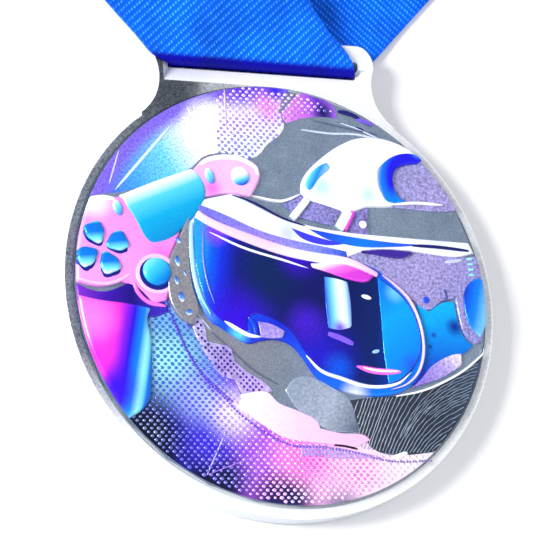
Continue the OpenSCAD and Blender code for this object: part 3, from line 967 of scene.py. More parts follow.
def make_headset():
    """The headset's shell, straps, windows and side."""
    white = ink("shell_white", (-10, 12), (26, 6), [
        (0, (226, 238, 255)), (0.4, WHITE), (1, (240, 246, 255)),
    ], spots=[(0.5, 7.6, 2.4, (206, 214, 250)), (22, 6.6, 3, (226, 232, 250))], grain=0.03, rough=0.2)
    strap = ink("strap_white", (4, 13), (16, 19), [
        (0, (226, 240, 255)), (0.5, WHITE), (1, (250, 252, 255)),
    ], spots=[(6, 14.4, 2, (190, 226, 255)), (12.5, 13.6, 2, (200, 226, 255))], grain=0.02, rough=0.16)
    lilac = ink("side_lilac", (12, 5), (26, -3), [
        (0, (150, 146, 200)), (0.5, (160, 148, 206)), (1, (140, 138, 200)),
    ], grain=0.4, grain_mm=0.35)
    violet = ink("shell_violet", (-12, 10), (8, 5), [
        (0, (110, 110, 230)), (0.5, (150, 130, 226)), (0.8, (130, 140, 240)), (1, (60, 90, 220)),
    ], grain=0.24, grain_mm=0.3)
    pane = ink("window_lilac", (1, 12), (12, 9), [
        (0, (136, 132, 200)), (1, (128, 120, 186)),
    ], grain=0.45, grain_mm=0.3)
    blue = ink("shell_blue", (4, 8), (18, 6.6), [
        (0, (30, 60, 226)), (0.5, (10, 120, 250)), (1, (40, 80, 220)),
    ], grain=0.04)
    navy = plain_ink("line_navy", (24, 26, 100))
    clean, magenta = plain_ink("line_white", WHITE, grain=0.02), plain_ink("line_magenta", (236, 70, 206))
    crescent = ink("strap_blue", (13.4, 17), (18, 14.6), [(0, WHITE)], spots=[
        (20.2, 15.5, 6.9, (0, 120, 255), 0.2), (20.0, 16.0, 5.5, (26, 20, 226), 0.25),
        (17, 12.8, 2.6, (0, 130, 250)), (20.6, 20.3, 1.6, (90, 170, 255)),
    ], grain=0.02)
    lay([
        ("strap_field", smooth([
            (20.8, 18.8), (21.9, 18.3), (22.9, 16.7), (24.6, 14.2), (25.7, 12.2), (24, 11.9), (16, 12.1),
            (16.2, 15), (16.4, 16.9), (17.3, 18), (18.8, 18.6),
        ]), 0.28, lilac),
        ("strap_shell", smooth([
            (3.1, 13.5), (3.2, 14.8), (4.2, 16.5), (6.9, 19), (9.6, 20.8), (12, 21.8), (16, 21.9), (20.4, 20),
            (21.3, 19), (20.8, 18.5), (18.8, 18.3), (17.3, 17.7), (16.6, 16.7), (16.5, 15), (17.1, 13.5),
            (18.1, 12.9), (16, 12.2), (12.5, 11.9), (10, 11.1), (6, 11.9), (3.4, 12.7),
        ]), 0.55, strap, 0.7, 0.22),
        ("strap_crescent", smooth([
            (15.1, 12.8), (14.2, 14), (13.1, 15.6), (13.8, 17.1), (15, 18.3), (16.7, 19.4), (18.8, 19.9),
            (20.6, 19.6), (21.2, 19), (20.7, 18.6), (18.8, 18.3), (17.3, 17.7), (16.6, 16.7), (16.5, 15),
            (17.1, 13.5), (18.1, 12.9), (16.4, 12.6),
        ]), 0.72, crescent, 0.3),
        ("strap_cyan_accent", stroke([(3.8, 13.9), (5.1, 15.9), (7.3, 17.6)], 1.3), 0.84,
         ink("strap_cyan", (3.8, 15.4), (6, 14.2), [
             (0, (110, 220, 255)), (0.45, (0, 140, 246)), (1, (170, 230, 255)),
         ]), 0.3),
        ("strap_lead", stroke([(-4, 12.7), (0.2, 12.2), (3, 13.3)], 0.35, 0.9), 0.5, clean, 0.12),
        ("strap_white_line", stroke([(15.7, 12.4), (19.5, 12.8), (23.6, 12.7)], 0.4, 0.9), 0.62, clean, 0.15),
        ("window_left", [(0.2, 11.7), (3.1, 13.3), (4, 12.7), (2.2, 10.6)], 0.4, pane),
        ("window_middle", [(2.4, 10.1), (4.6, 12.5), (8.75, 11.5), (7.1, 9.1)], 0.4, pane),
        ("window_right", [(9.2, 8.3), (10.4, 11), (12.5, 11.9), (12.3, 8.1)], 0.4, pane),
        ("window_bar_left", stroke([(1.5, 9.9), (3.9, 12.7)], 1.0, 0.1), 0.66, clean),
        ("window_bar_right", stroke([(8.1, 8.8), (9.7, 11.3)], 1.3, 0.1), 0.66, clean),
        ("window_bar_edge", stroke([(8.9, 8.5), (10.3, 11.1)], 0.35, 0.1), 0.7, magenta, 0.12),
        ("window_knob", oval(11.5, 9.4, 1.1, 1.1), 0.62, clean, 0.3, 0.1),
        ("side_body", smooth([
            (8.3, 5.6), (14.6, 5.4), (20, 5.8), (24, 5.4), (28.4, 5.7), (28.7, 0), (27.3, -6.3), (26, -6.7),
            (24.8, -5.5), (24.2, -3), (24, -0.4), (22.1, -0.8), (20, -2.1), (18.75, -1.9), (18, -1),
            (16.6, -0.4), (14, 1.6), (11.5, 3.2),
        ]), 0.36, lilac),
        ("side_blue", smooth([
            (18.2, -1.3), (20, -2.3), (22.1, -1), (23.8, -0.8), (24, -3), (24.6, -5.6), (25.9, -6.9),
            (24.5, -8), (20, -10), (18, -11.7), (14.5, -13.2), (16.5, -11), (18, -8.5), (18.6, -5),
        ]), 0.3, ink("side_blue", (20, -2), (20, -11), [
            (0, (0, 170, 240)), (0.4, (0, 140, 232)), (0.75, (0, 100, 210)), (1, (30, 60, 200)),
        ], spots=[
            (23.4, -4.4, 1.9, (0, 40, 150)), (19.6, -3.6, 1.4, (0, 170, 246)),
            (20.2, -5.6, 0.6, (0, 70, 160)), (19.5, -7.2, 0.5, (0, 60, 150)),
        ], grain=0.06)),
        ("side_strap", smooth([
            (25.8, 1.4), (27.4, 2.5), (28.6, 2.5), (28.7, 0), (28.3, -3.3), (27, -6), (25.4, -3.75),
            (25.1, -0.2),
        ]), 0.56, ink("side_strap", (25, 0), (28.4, -1), [
            (0, (10, 30, 120)), (0.25, (0, 90, 230)), (0.6, (10, 130, 255)), (1, (120, 200, 255)),
        ]), 0.4, 0.1),
        ("side_pink_patch", smooth([
            (19.4, -9.9), (22.1, -8.4), (24, -8), (23.8, -9.7), (20.8, -11.4), (18.1, -12.3), (16.2, -12.9),
            (17.7, -11.6),
        ]), 0.44, ink("side_pink", (18, -12), (23.5, -8.6), [
            (0, (140, 120, 214)), (0.6, (176, 156, 226)), (1, (230, 220, 246)),
        ], grain=0.3)),
        ("side_low_line", stroke([
            (14, -14), (17.5, -13.3), (20.5, -12.2), (24.2, -10.3), (28, -7.4),
        ], 0.3), 0.3, clean, 0.12),
        ("side_slot", stroke([(22.9, 4.6), (25.6, 5)], 0.5), 0.46, (196, 206, 240), 0.15),
        ("side_screw", oval(19.6, -0.8, 1.0, 1.0), 0.5, blue, 0.2),
        ("side_dash", stroke([(22.5, 0.9), (22.6, -0.8)], 0.45), 0.46, (80, 86, 150), 0.15),
    ])
    for n in range(4):
        tab = plain_ink(f"side_tab_{n}", (150, 226, 250))
        relief(f"side_tab_{n}", oval(26.7, 5.2 - 0.75 * n, 0.9, 0.38), 0.48, tab, edge=0.12)
    lay([
        ("shell_top", smooth([
            (-11.9, 11.7), (-10, 12.1), (-7.5, 12.7), (-6.5, 12.9), (-4.2, 11.8), (0, 9.9), (4.2, 8.9),
            (8.75, 8.3), (16.25, 7.9), (26.8, 7.5), (27.4, 6), (25, 5.4), (17.9, 5.9), (11.25, 5.6),
            (8.5, 4.7), (5, 4.9), (0, 5.6), (-4, 6.9), (-7.9, 8.6), (-12, 10.2),
        ]), 0.56, white, 0.4, 0.12),
        ("shell_blue_band", smooth([
            (3.4, 8.4), (9, 7.6), (16, 6.95), (20.5, 6.85), (15.4, 6.35), (10, 6.2), (6, 7),
        ]), 0.72, blue, 0.15),
        ("shell_blue_wedge", smooth([
            (1.0, 8.4), (4.2, 7.4), (8.6, 6.4), (5.4, 6.2), (2.4, 7),
        ]), 0.76, plain_ink("shell_wedge", (60, 60, 226)), 0.15),
        ("shell_top_line", stroke([(-6.8, 12.6), (-4, 11.7), (0, 9.7), (3, 8.8)], 0.28), 0.74, navy, 0.1),
        ("shell_side_line", stroke([(18.1, 6.7), (22, 6.6), (26.6, 6.25)], 0.5), 0.74, navy, 0.15),
        ("shell_dark_patch", smooth([
            (10.8, 5.6), (14.4, 5.0), (16.7, 4.9), (18.3, 5.7), (14.5, 5.95),
        ]), 0.74, plain_ink("shell_dark", (60, 36, 150)), 0.12),
        ("shell_violet_strip", stroke([
            (-11.8, 10.8), (-7.9, 9.1), (-4, 7.4), (0, 6.3), (5, 5.5), (8.7, 5.1),
        ], 1.3), 0.74, violet, 0.2),
    ])


def make_visor():
    """The visor's frame, its dark glass and what it reflects."""
    frame_ink = ink("visor_frame", (-12, 6), (14, -13), [
        (0, (236, 240, 255)), (0.12, (120, 170, 255)), (0.25, (20, 80, 236)), (0.45, (20, 40, 210)),
        (0.7, (20, 90, 230)), (1, (0, 120, 240)),
    ], spots=[
        (-7.4, -6.2, 2, (90, 200, 255)), (8, -14, 2.6, (220, 226, 255)), (2, -10.6, 1.6, (30, 60, 220)),
        (18.6, -6, 3.4, (0, 130, 244)),
    ], grain=0.1)
    glass = ink("visor_glass", (-12.6, 0), (18, -6), [
        (0, (30, 150, 246)), (0.04, (0, 90, 230)), (0.09, (10, 40, 210)), (0.16, (10, 16, 130)),
        (0.3, (0, 24, 84)), (0.5, (6, 14, 96)), (0.68, (0, 20, 90)), (0.8, (0, 30, 100)), (1, (0, 60, 190)),
    ], spots=[
        (-7.5, -5, 7.5, (50, 0, 214)), (3.4, -9, 7.5, (30, 20, 190)), (-3, 2.6, 6, (0, 30, 90)),
        (1.6, 4.4, 4, (50, 0, 190)), (-9.6, 7.4, 2.6, (130, 60, 240)), (2, -4.6, 4, (60, 20, 190)),
        (6, -10.6, 3, (0, 80, 220)),
    ], grain=0.16, rough=0.1, metal=0.2)
    clear_blue = ink("visor_clear_blue", (12.6, 0), (18, -8), [
        (0, (0, 120, 246)), (0.4, (0, 160, 255)), (1, (0, 130, 246)),
    ], spots=[(16.6, -10, 2.4, (30, 90, 230)), (15, 0, 2, (110, 200, 255))], grain=0.03, rough=0.1)
    mirror = ink("visor_mirror", (5, -2), (8.5, -2), [
        (0, (30, 90, 220)), (0.25, (120, 214, 255)), (0.6, WHITE), (0.8, (200, 236, 255)),
        (1, (60, 110, 230)),
    ], spots=[(6.6, -5.2, 1.6, (120, 90, 240))], grain=0.03, rough=0.1)
    pink_white = ink("visor_rim_pink", (-12, 9), (12, 2), [
        (0, (240, 214, 255)), (0.4, (255, 206, 246)), (0.7, WHITE), (1, (255, 190, 244)),
    ], grain=0.02)
    violet = ink("visor_violet", (-4, -4.5), (-2, -6.8), [
        (0, (150, 130, 226)), (1, (176, 156, 232)),
    ], grain=0.3)
    clean = plain_ink("visor_white", WHITE, grain=0.02)
    pink = plain_ink("visor_pink", (255, 110, 226), grain=0.02)
    glass_line = [
        (-12.3, 9.4), (-12.6, 7.1), (-12.6, 2.9), (-12.1, 0), (-11.3, -2.5), (-10, -4.2), (-8, -5.3),
        (-6, -6), (-5.9, -4.2), (-5, -3.6), (-3, -4), (-1, -5), (0.3, -6.5), (1.5, -8.5), (3.5, -10.5),
        (6.25, -11.5), (9.2, -12.5), (11.9, -12.8), (14.5, -12.1), (16.3, -10.7), (17.5, -9), (18.2, -6.75),
        (18.0, -4.2), (17.5, -2.8), (16.4, -0.7), (14.7, 0.9), (12.5, 2.3), (9, 3.5), (4, 4), (0, 4.6),
        (-5, 6.1), (-9.6, 7.9),
    ]
    lay([
        ("visor_frame", smooth([
            (-12.9, 9.8), (-13.3, 7.1), (-13.3, 2.9), (-12.9, 0), (-12, -2.9), (-10.6, -4.8), (-9.8, -5.2),
            (-8, -6.4), (-6, -7.4), (-4.3, -7), (-2, -6.8), (0, -7.6), (1.25, -9.1), (3.1, -11.8), (5.2, -13),
            (8.3, -13.9), (11.7, -14.1), (14.6, -13.5), (16.8, -12.1), (18.1, -10.2), (18.6, -7.4),
            (18.3, -4.4), (17.8, -2.5), (16.8, -0.5), (15.1, 1.3), (13, 3.2), (9, 4.6), (0, 6), (-8, 8.6),
            (-12, 10.6),
        ], corner=60), 0.5, frame_ink, 0.45),
        ("visor_right_edge", stroke([
            (13.4, 2.4), (15.2, 1), (16.9, -0.8), (17.9, -3), (18.4, -6), (18.2, -8.6), (17.2, -10.9),
            (15.4, -12.5), (13, -13.3),
        ], 0.3, 0.9), 0.84, (236, 206, 246), 0.1),
        ("visor_glass", smooth(glass_line, corner=60), 0.62, glass, 0.3, 0.15),
        ("visor_clear_side", smooth([
            (12.7, 2.0), (14.6, 0.6), (16.2, -0.9), (17.3, -2.8), (17.8, -4.6), (18.0, -6.8), (17.3, -9),
            (16.1, -10.6), (14.4, -11.9), (12.8, -12.5), (12.5, -8), (12.6, -3),
        ]), 0.8, clear_blue, 0.15),
        ("visor_mirror", smooth([
            (5.1, 1.8), (6.8, 1.6), (8.3, 1.2), (8.5, -1.6), (8.3, -5), (6.6, -5.4), (5, -5.2), (4.9, -1.6),
        ]), 0.82, mirror, 0.12),
        ("visor_mirror_low", stroke([(4.8, -5.9), (6.6, -6.5), (8.4, -7.3)], 0.8), 0.84,
         plain_ink("visor_streak", (130, 90, 250)), 0.15),
        ("visor_spark", oval(10.8, -0.8, 1.4, 0.6, -15), 0.86, clean, 0.12),
        ("visor_spark_low", oval(11.4, -8.2, 1.1, 0.5, 15), 0.86, plain_ink("visor_spark", (150, 200, 255)),
         0.12),
        ("visor_pink_line", stroke([(8.4, -10.2), (11, -10.8), (15, -10.9)], 0.9, 0.9), 0.86, pink, 0.25),
        ("visor_pink_core", stroke([(9.1, -10.4), (11.4, -10.8), (14.6, -10.8)], 0.35, 0.9), 0.9, clean, 0.1),
        ("visor_low_highlight", stroke([
            (1.6, -8.9), (3.5, -10.9), (6.25, -11.9), (9.2, -12.8), (11.9, -12.9), (14.4, -12.3),
            (16.2, -10.9),
        ], 0.45, 0.9), 0.8, clean, 0.15),
        ("visor_left_highlight", stroke([
            (-12.7, 8.6), (-12.9, 5), (-12.8, 1.4), (-12, -1.8), (-11, -3.8),
        ], 0.35, 0.9), 0.78, plain_ink("visor_left_edge", (150, 226, 255)), 0.12),
        ("visor_nose_highlight", stroke([
            (-9.2, -4.6), (-7.6, -5.6), (-6, -6.4), (-4.4, -6.6),
        ], 0.5, 0.9), 0.8, clean, 0.15),
        ("visor_nose_bar", stroke([(-5.9, -4), (-5.2, -5.2), (-5.1, -6.4)], 0.5), 0.82,
         plain_ink("visor_nose_blue", (20, 70, 230)), 0.15),
        ("visor_nose_patch", smooth([
            (-4.6, -4.5), (-2.8, -4.8), (-1, -5.7), (-1.4, -6.6), (-3, -6.7), (-4.4, -6.6),
        ]), 0.68, violet, 0.15),
        ("visor_top_rim", stroke([
            (-12, 10), (-9.6, 8.5), (-5, 6.7), (0, 5.2), (4, 4.5), (9, 3.9), (12.9, 2.3),
        ], 1.5, 0.5), 0.86, pink_white, 0.5, 0.1),
        ("visor_thin_line", stroke([
            (-10.4, 7.3), (-6, 5.4), (0, 3.75), (2.9, 2.9),
        ], 0.32, 0.9), 0.84, clean, 0.12),
        ("visor_side_line", stroke([
            (-11.2, 7.6), (-11.5, 4), (-11.2, 0.6), (-10.4, -2.4),
        ], 0.2, 0.9), 0.8, (120, 130, 255), 0.08),
        ("visor_blob", smooth([
            (3.3, 3.6), (8, 3.7), (12.3, 2.2), (11.2, 1.3), (8.5, 1.5), (5.6, 2.4), (3.5, 3),
        ]), 0.92, ink("visor_blob", (6, 3.6), (6.6, 1.6), [
            (0, (255, 236, 252)), (0.4, (255, 120, 226)), (1, (214, 60, 214)),
        ], grain=0.02), 0.4, 0.1),
    ])


# ---------------------------------------------------------------- ribbon, seam and paper band

LAYERS = 8


def back_edge(y):
    """How far right the back strand reaches at a height."""
    return 17 + (y - 34.6) * 0.95


def front_edge(y):
    """How far left the front strand reaches at a height."""
    return -17.7 - (y - 34.2) * 0.87


def inner_edge(y):
    """The back strand's left edge at a height. The front strand's right edge is the same mirrored."""
    return -13.2 + (y - 31.1) * 0.625


def turn_of(edges, x, low, high, sense, steps=6):
    """Stations round a fold at the end of a layer. Sense is 1 at the right end."""
    (ya, yb), radius, middle = edges, (high - low) / 2, (high + low) / 2
    stations = []
    for t in np.linspace(0, math.pi, steps):
        px, pz = x + sense * abs(radius) * math.sin(t), middle - radius * math.cos(t)
        stations.append(((px, ya, pz), (px, yb, pz)))
    return stations


def bundle_stations(near, far, low, reach):
    """The seam's flap and the zigzag layers, down to the lowest one."""
    levels = [low + 4.25 - k * 4 / (LAYERS - 1) for k in range(LAYERS)]
    flap = low + 5.75
    stations = [((x, far, flap), (x, near, flap)) for x in np.linspace(15.5, reach, 7)]
    stations += turn_of((far, near), reach, flap, levels[0], 1)[1:]
    for k, level in enumerate(levels):
        sense = -1 if k % 2 == 0 else 1
        slip = 0.22 * math.sin(2.3 * k)
        end = reach if k < LAYERS - 1 else 15
        for x in np.linspace(-sense * reach, sense * end, 13)[1:]:
            sag = 0.05 * math.sin(x * 0.16 + k * 1.3)
            stations.append(((x, far + slip, level + sag), (x, near + slip, level + sag)))
        if k < LAYERS - 1:
            stations += turn_of((far + slip, near + slip), sense * reach, level, levels[k + 1], sense)[1:]
    return stations


def mitre(near_point, far_point, side, low, high, steps=6):
    """Stations round the slanting fold where a strand turns into the bundle."""
    outward = np.array([side * 0.894, 0.447])
    radius, middle = (high - low) / 2, (high + low) / 2
    stations = []
    for t in np.linspace(0, math.pi, steps):
        shift = outward * abs(radius) * math.sin(t)
        z = middle - radius * math.cos(t)
        stations.append(((*(np.array(far_point) + shift), z), (*(np.array(near_point) + shift), z)))
    return stations


def ribbon_stations():
    """The two edges of the whole strip, from one cut end at the seam to the other."""
    near, far, low = BUNDLE_LOW.y, BUNDLE_HIGH.y, BUNDLE_LOW.z
    reach = BUNDLE_HIGH.x - 0.8
    stations = bundle_stations(near, far, low, reach)
    inner_x = inner_edge(near)
    run = (far - near) / 2
    a, b = (back_edge(near), near), (back_edge(near) - run, far)
    ground, bottom = 0.27, low + 0.25
    for t in (0.35, 0.7, 1.0):
        stations.append(((15 + (b[0] - 15) * t, far, bottom), (15 + (a[0] - 15) * t, near, bottom)))
    stations += mitre(a, b, 1, bottom, ground)[1:]
    for t in (0.2, 0.4, 0.6, 0.8, 1.0):
        stations.append(((b[0] + (inner_x - b[0]) * t, far + (near - far) * t, ground),
                         (a[0] - 0.9 * t, near - t, ground)))
    for y in (46, 44.5, 43, 41.5, 40, 38.8, 37.6, 36.4, 35.4, 34.6):
        rise = 0.33 * min(1, max(0, (39.5 - y) / 3.5))
        stations.append(((inner_edge(y), y, ground + rise), (back_edge(y), y, ground + rise)))
    for y, z, left, right in (
        (33.9, 0.6, -12.6, 14.8), (33.2, 0.6, -13.0, 13.25), (32.6, 0.72, -13.2, 13.2),
        (32.0, 1.1, -13.2, 13.2), (31.7, 1.7, -13.2, 13.2), (31.65, 2.4, -13.2, 13.2),
    ):
        stations.append(((left, y, z), (right, y, z)))
    stations += [
        ((-13.6, 31.6, 3.1), (13.1, 31.8, 3.0)), ((-14.8, 31.6, 3.6), (12.9, 32.2, 3.45)),
        ((-15.8, 31.9, 3.82), (12.6, 32.8, 3.75)), ((-16.6, 32.7, 3.86), (12.2, 33.6, 3.85)),
        ((-17.3, 33.6, 3.87), (11.7, 34.4, 3.87)), ((-18.2, 34.8, 3.88), (11.1, 35.3, 3.88)),
    ]
    for y in (36.2, 37.2, 38.2, 39.4, 41, 42.6, 44.2, 45.8, 47.2, 48.2):
        lift = 1.62 * max(0, (y - 38) / (near - 38)) ** 1.4
        stations.append(((front_edge(y), y, 3.9 + lift), (-inner_edge(y), y, 3.9 + lift)))
    a, b = (front_edge(near), near), (front_edge(near) + run, far)
    under, top = low + 4.75, low + 5.25
    for t in (0.0, 0.2, 0.4, 0.6, 0.8, 1.0):
        stations.append(((a[0] + 0.6 * (1 - t), near - 0.6 * (1 - t), under),
                         (-inner_x + (b[0] + inner_x) * t, near + (far - near) * t, under)))
    stations += mitre(b, a, -1, under, top)[1:]
    for t in np.linspace(0.1, 1, 12):
        stations.append(((a[0] + (30.5 - a[0]) * t, near, top), (b[0] + (30.5 - b[0]) * t, far, top)))
    return stations


SLOT_SHADE_FROM, SLOT_SHADE_TO = 32.7, 31.9


def woven_ribbon(colours, sizes):
    """Blue twill: fine slanting ribs, broken into short stitches of light and dark yarn, with painted shade
    where it dips into the slot.
    """
    look = Finish("woven_ribbon", Roughness=0.7)
    look.shader.inputs["Specular IOR Level"].default_value = 0.12
    weave = look.node("ShaderNodeUVMap", {"uv_map": "weave"})
    across, along = look.part(weave, "X"), look.part(weave, "Y")
    full = 2 * math.pi / (sizes.weave_pitch / MM)
    yarn = look.node("ShaderNodeTexNoise", {}, {"Vector": weave, "Scale": 1.6, "Detail": 4.0})
    rib = look.wave((along * 0.98 - across * 0.12 + yarn * 0.3) * full)
    dash = look.wave((across - along * 0.35) * (full * 1.55))
    raised = (rib * 0.5 + 0.5) * (dash * 0.22 + 0.78)
    middle = sizes.ribbon_width / MM / 2
    from_middle = look.node("ShaderNodeMath", {"operation": "ABSOLUTE"}, {0: across - middle})
    selvedge = look.rise(from_middle, middle - 0.9, middle - 0.5)
    deep = deeper(colours.ribbon, 0.6)
    cloth = look.mix(raised, deep, deeper(colours.ribbon))
    cloth = look.mix(look.rise(raised * (0.4 + yarn), 0.55, 1.0), cloth, deeper(colours.ribbon_light))
    cloth = look.mix(selvedge * 0.5, cloth, deep)
    # Painted shade: where the ribbon dips into the slot it turns deep navy.
    painted_slot_shade = look.rise(look.part(look.place, "Y"), SLOT_SHADE_FROM * MM, SLOT_SHADE_TO * MM, soft=True)
    cloth = look.mix(painted_slot_shade, cloth, tint(0, 0, 150))
    look.feed("Base Color", look.scaled(cloth, 1.05 + (look.noise(7.0) - 0.5) * 1.5))
    look.bump(raised + yarn * 0.3, 0.5, 0.1)
    return look.material


def make_ribbon(sizes, colours):
    """The whole ribbon as one strip, folded and threaded round the bar."""
    stations = ribbon_stations()
    columns = 17
    share = np.linspace(0, 1, columns)
    one = np.array([s[0] for s in stations], float)
    two = np.array([s[1] for s in stations], float)
    travel = [
        np.concatenate([[0], np.cumsum(np.linalg.norm(np.diff(edge, axis=0), axis=1))]) for edge in (one, two)
    ]
    points = one[:, None] * (1 - share)[None, :, None] + two[:, None] * share[None, :, None]
    y, z = points[..., 1], points[..., 2]
    front = (z > 3.4) & (y < 48)
    fading = np.clip(1 - (y - 31.5) / 12, 0, 1)
    pleats = 0.2 * fading * (0.5 + 0.5 * np.cos(2 * math.pi * (4.3 * share[None] + 0.02 * y)))
    swell = 0.45 * np.sin(math.pi * share)[None] * np.clip((y - 36.5) / 3, 0, 1) * np.clip((48 - y) / 4, 0, 1)
    points[..., 2] += np.where(front, (pleats + swell) * np.clip((z - 3.4) / 0.45, 0, 1), 0)
    rows = len(stations)
    mesh = bpy.data.meshes.new("neck_ribbon")
    faces = [
        (r * columns + c, r * columns + c + 1, (r + 1) * columns + c + 1, (r + 1) * columns + c)
        for r in range(rows - 1) for c in range(columns - 1)
    ]
    mesh.from_pydata((points.reshape(-1, 3) * MM).tolist(), [], faces)
    weave = mesh.uv_layers.new(name="weave")
    for loop in mesh.loops:
        r, c = divmod(loop.vertex_index, columns)
        s = travel[0][r] * (1 - share[c]) + travel[1][r] * share[c]
        weave.data[loop.index].uv = (share[c] * sizes.ribbon_width / MM, s)
    sheet = bpy.data.objects.new("strip", mesh)
    bpy.context.scene.collection.objects.link(sheet)
    subdivide = sheet.modifiers.new("smooth", "SUBSURF")
    subdivide.levels = subdivide.render_levels = 1
    thicken = sheet.modifiers.new("thickness", "SOLIDIFY")
    thicken.thickness = sizes.ribbon_thickness
    thicken.offset = 0
    final = bpy.data.meshes.new_from_object(sheet.evaluated_get(bpy.context.evaluated_depsgraph_get()))
    bpy.data.objects.remove(sheet)
    ribbon = new_object("neck_ribbon", final, woven_ribbon(colours, sizes), sharp=70)
    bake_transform(ribbon)
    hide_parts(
        "ribbon_fold", "ribbon_front_strand", "ribbon_back_strand", "ribbon_bundle", "seam_overlap"
    )


def make_stitches(colours):
    """Two rows of thread across the seam."""
    low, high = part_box("seam_stitching")
    half = high.z - low.z
    thread = Finish("sewing_thread", Roughness=0.55)
    twist = thread.noise(0.25, 3.0)
    thread.feed("Base Color", thread.mix(twist, deeper(colours.thread, 0.6), deeper(colours.thread)))
    thread.bump(twist, 0.6, 0.05)
    count, length = 8, 1.6 * MM
    points = [
        (x, low.y + length / 2 + n * (high.y - low.y - length) / (count - 1), low.z)
        for x in (low.x + half, high.x - half) for n in range(count)
    ]
    stitch = {
        "Width": 2 * half, "Height": half, "Turn": math.pi / 2, "Length share": length / half / 2, "Seed": 5,
    }
    holder = points_object("seam_stitch_rows", points)
    rows = grow("seam_stitch_rows", holder, dot_tree(thread.material), stitch, "ribbon")
    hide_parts("seam_stitching")


def finish_band(colours):
    """Uncoated white paper with short fibres."""
    look = Finish("paper_band", Roughness=0.8)
    fibre = look.noise(0.4, 5.0)
    look.feed("Base Color", look.mix(fibre, deeper(colours.paper, 0.86), deeper(colours.paper)))
    look.bump(fibre, 0.3, 0.08)
    dress("storage_band", look.material)


# ---------------------------------------------------------------- stage

def add_light(name, place, target, size, power):
    """A square lamp at a place, turned to a target."""
    lamp = bpy.data.lights.new(name, "AREA")
    lamp.size = size
    lamp.energy = power
    piece = bpy.data.objects.new(name, lamp)
    bpy.context.scene.collection.objects.link(piece)
    piece.location = place
    piece.rotation_euler = (Vector(target) - Vector(place)).to_track_quat("-Z", "Y").to_euler()


def make_stage():
    """Pale floor, soft light from the upper left and the camera."""
    scene = bpy.context.scene
    scene.view_settings.view_transform = "Standard"
    half = 0.9
    sheet = bpy.data.meshes.new("floor")
    sheet.from_pydata([
        (-half, -half, 0), (half, -half, 0), (half, half, 0), (-half, half, 0),
    ], [], [(0, 1, 2, 3)])
    sheet.transform(Matrix.Translation((0, 0, -0.02 * MM)))
    floor = bpy.data.objects.new("floor", sheet)
    scene.collection.objects.link(floor)
    paper = Finish("floor_paper", Roughness=0.9)
    paper.feed("Base Color", paper.mix(paper.noise(30.0), tint(246, 246, 247), tint(250, 250, 251)))
    sheet.materials.append(paper.material)

    world = bpy.data.worlds.new("soft_room")
    scene.world = world
    world.use_nodes = True
    world.node_tree.nodes.clear()
    room = Bench(world.node_tree)
    direction = room.node("ShaderNodeTexCoord", output="Generated")
    sky = room.node("ShaderNodeValToRGB", {"stops": [
        (0, (1, 1, 1, 1)), (0.35, (1, 1, 1, 1)), (0.8, (0.74, 0.77, 0.82, 1)), (1, (0.86, 0.88, 0.92, 1)),
    ]}, {"Fac": room.part(direction, "Z")})
    glow = room.node("ShaderNodeBackground", {}, {"Color": sky, "Strength": 0.7})
    room.node("ShaderNodeOutputWorld", {}, {"Surface": glow})

    add_light("window", (-0.74, 0.1, 0.42), (0, 0, 0), 0.3, 12.0)
    add_light("fill", (0.4, -0.4, 0.45), (0, 0, 0), 0.5, 1.0)
    add_light("rim", (0.1, -0.5, 0.12), (0, -0.02, 0), 0.3, 0.3)

    eye = bpy.data.cameras.new("camera")
    eye.angle = math.radians(14)
    eye.clip_start, eye.clip_end = 0.01, 10
    camera = bpy.data.objects.new("camera", eye)
    scene.collection.objects.link(camera)
    target, distance = Vector((0.18, 3.44, 0)) * MM, 0.295
    azimuth, elevation, roll = (math.radians(angle) for angle in (219.6, 62.0, 49.0))
    back = Vector((math.cos(azimuth) * math.cos(elevation), math.sin(azimuth) * math.cos(elevation),
                   math.sin(elevation)))
    level = (-back).cross(Vector((0, 0, 1))).normalized()
    upright = level.cross(-back)
    right = math.cos(roll) * level + math.sin(roll) * upright
    up = math.cos(roll) * upright - math.sin(roll) * level
    turn = Matrix((right, up, back)).transposed().to_4x4()
    camera.matrix_world = Matrix.Translation(target + back * distance) @ turn
    scene.camera = camera


# ---------------------------------------------------------------- the add-on's settings, operators and panel

class MedalSizes(bpy.types.PropertyGroup):
    """Sizes of the repeated patterns and of the ribbon."""
    dot_pitch: FloatProperty(name="Dot pitch", description="Distance between dots in a row",
                             default=0.92 * MM, unit="LENGTH")
    dot_row: FloatProperty(name="Dot row pitch", description="Distance between rows of dots",
                           default=0.49 * MM, unit="LENGTH")
    dot_width: FloatProperty(name="Dot width", description="Width of one raised dot",
                             default=0.47 * MM, unit="LENGTH")
    comb_pitch: FloatProperty(name="Comb pitch", description="Distance between combed lines",
                              default=0.34 * MM, unit="LENGTH")
    ribbon_width: FloatProperty(name="Ribbon width", description="Width of the flat ribbon",
                                default=25 * MM, unit="LENGTH")
    ribbon_thickness: FloatProperty(name="Ribbon thickness", description="Thickness of the woven ribbon",
                                    default=0.45 * MM, unit="LENGTH")
    weave_pitch: FloatProperty(name="Weave pitch", description="Distance between the ribs of the weave",
                               default=0.82 * MM, unit="LENGTH")
    seed: IntProperty(name="Seed", description="Seed of the small differences between dots", default=7)


class MedalColours(bpy.types.PropertyGroup):
    """Colours of the metal, the ribbon and the paper."""
    metal: FloatVectorProperty(name="Metal", description="Colour of the cast metal", subtype="COLOR",
                               default=tint(178, 188, 202)[:3])
    ribbon: FloatVectorProperty(name="Ribbon", description="Main colour of the ribbon", subtype="COLOR",
                                default=tint(0, 104, 255)[:3])
    ribbon_light: FloatVectorProperty(name="Ribbon highlights", description="Colour of the raised yarns",
                                      subtype="COLOR", default=tint(70, 170, 255)[:3])
    thread: FloatVectorProperty(name="Thread", description="Colour of the sewing thread", subtype="COLOR",
                                default=tint(20, 60, 150)[:3])
    paper: FloatVectorProperty(name="Paper", description="Colour of the storage band", subtype="COLOR",
                               default=tint(243, 242, 238)[:3])


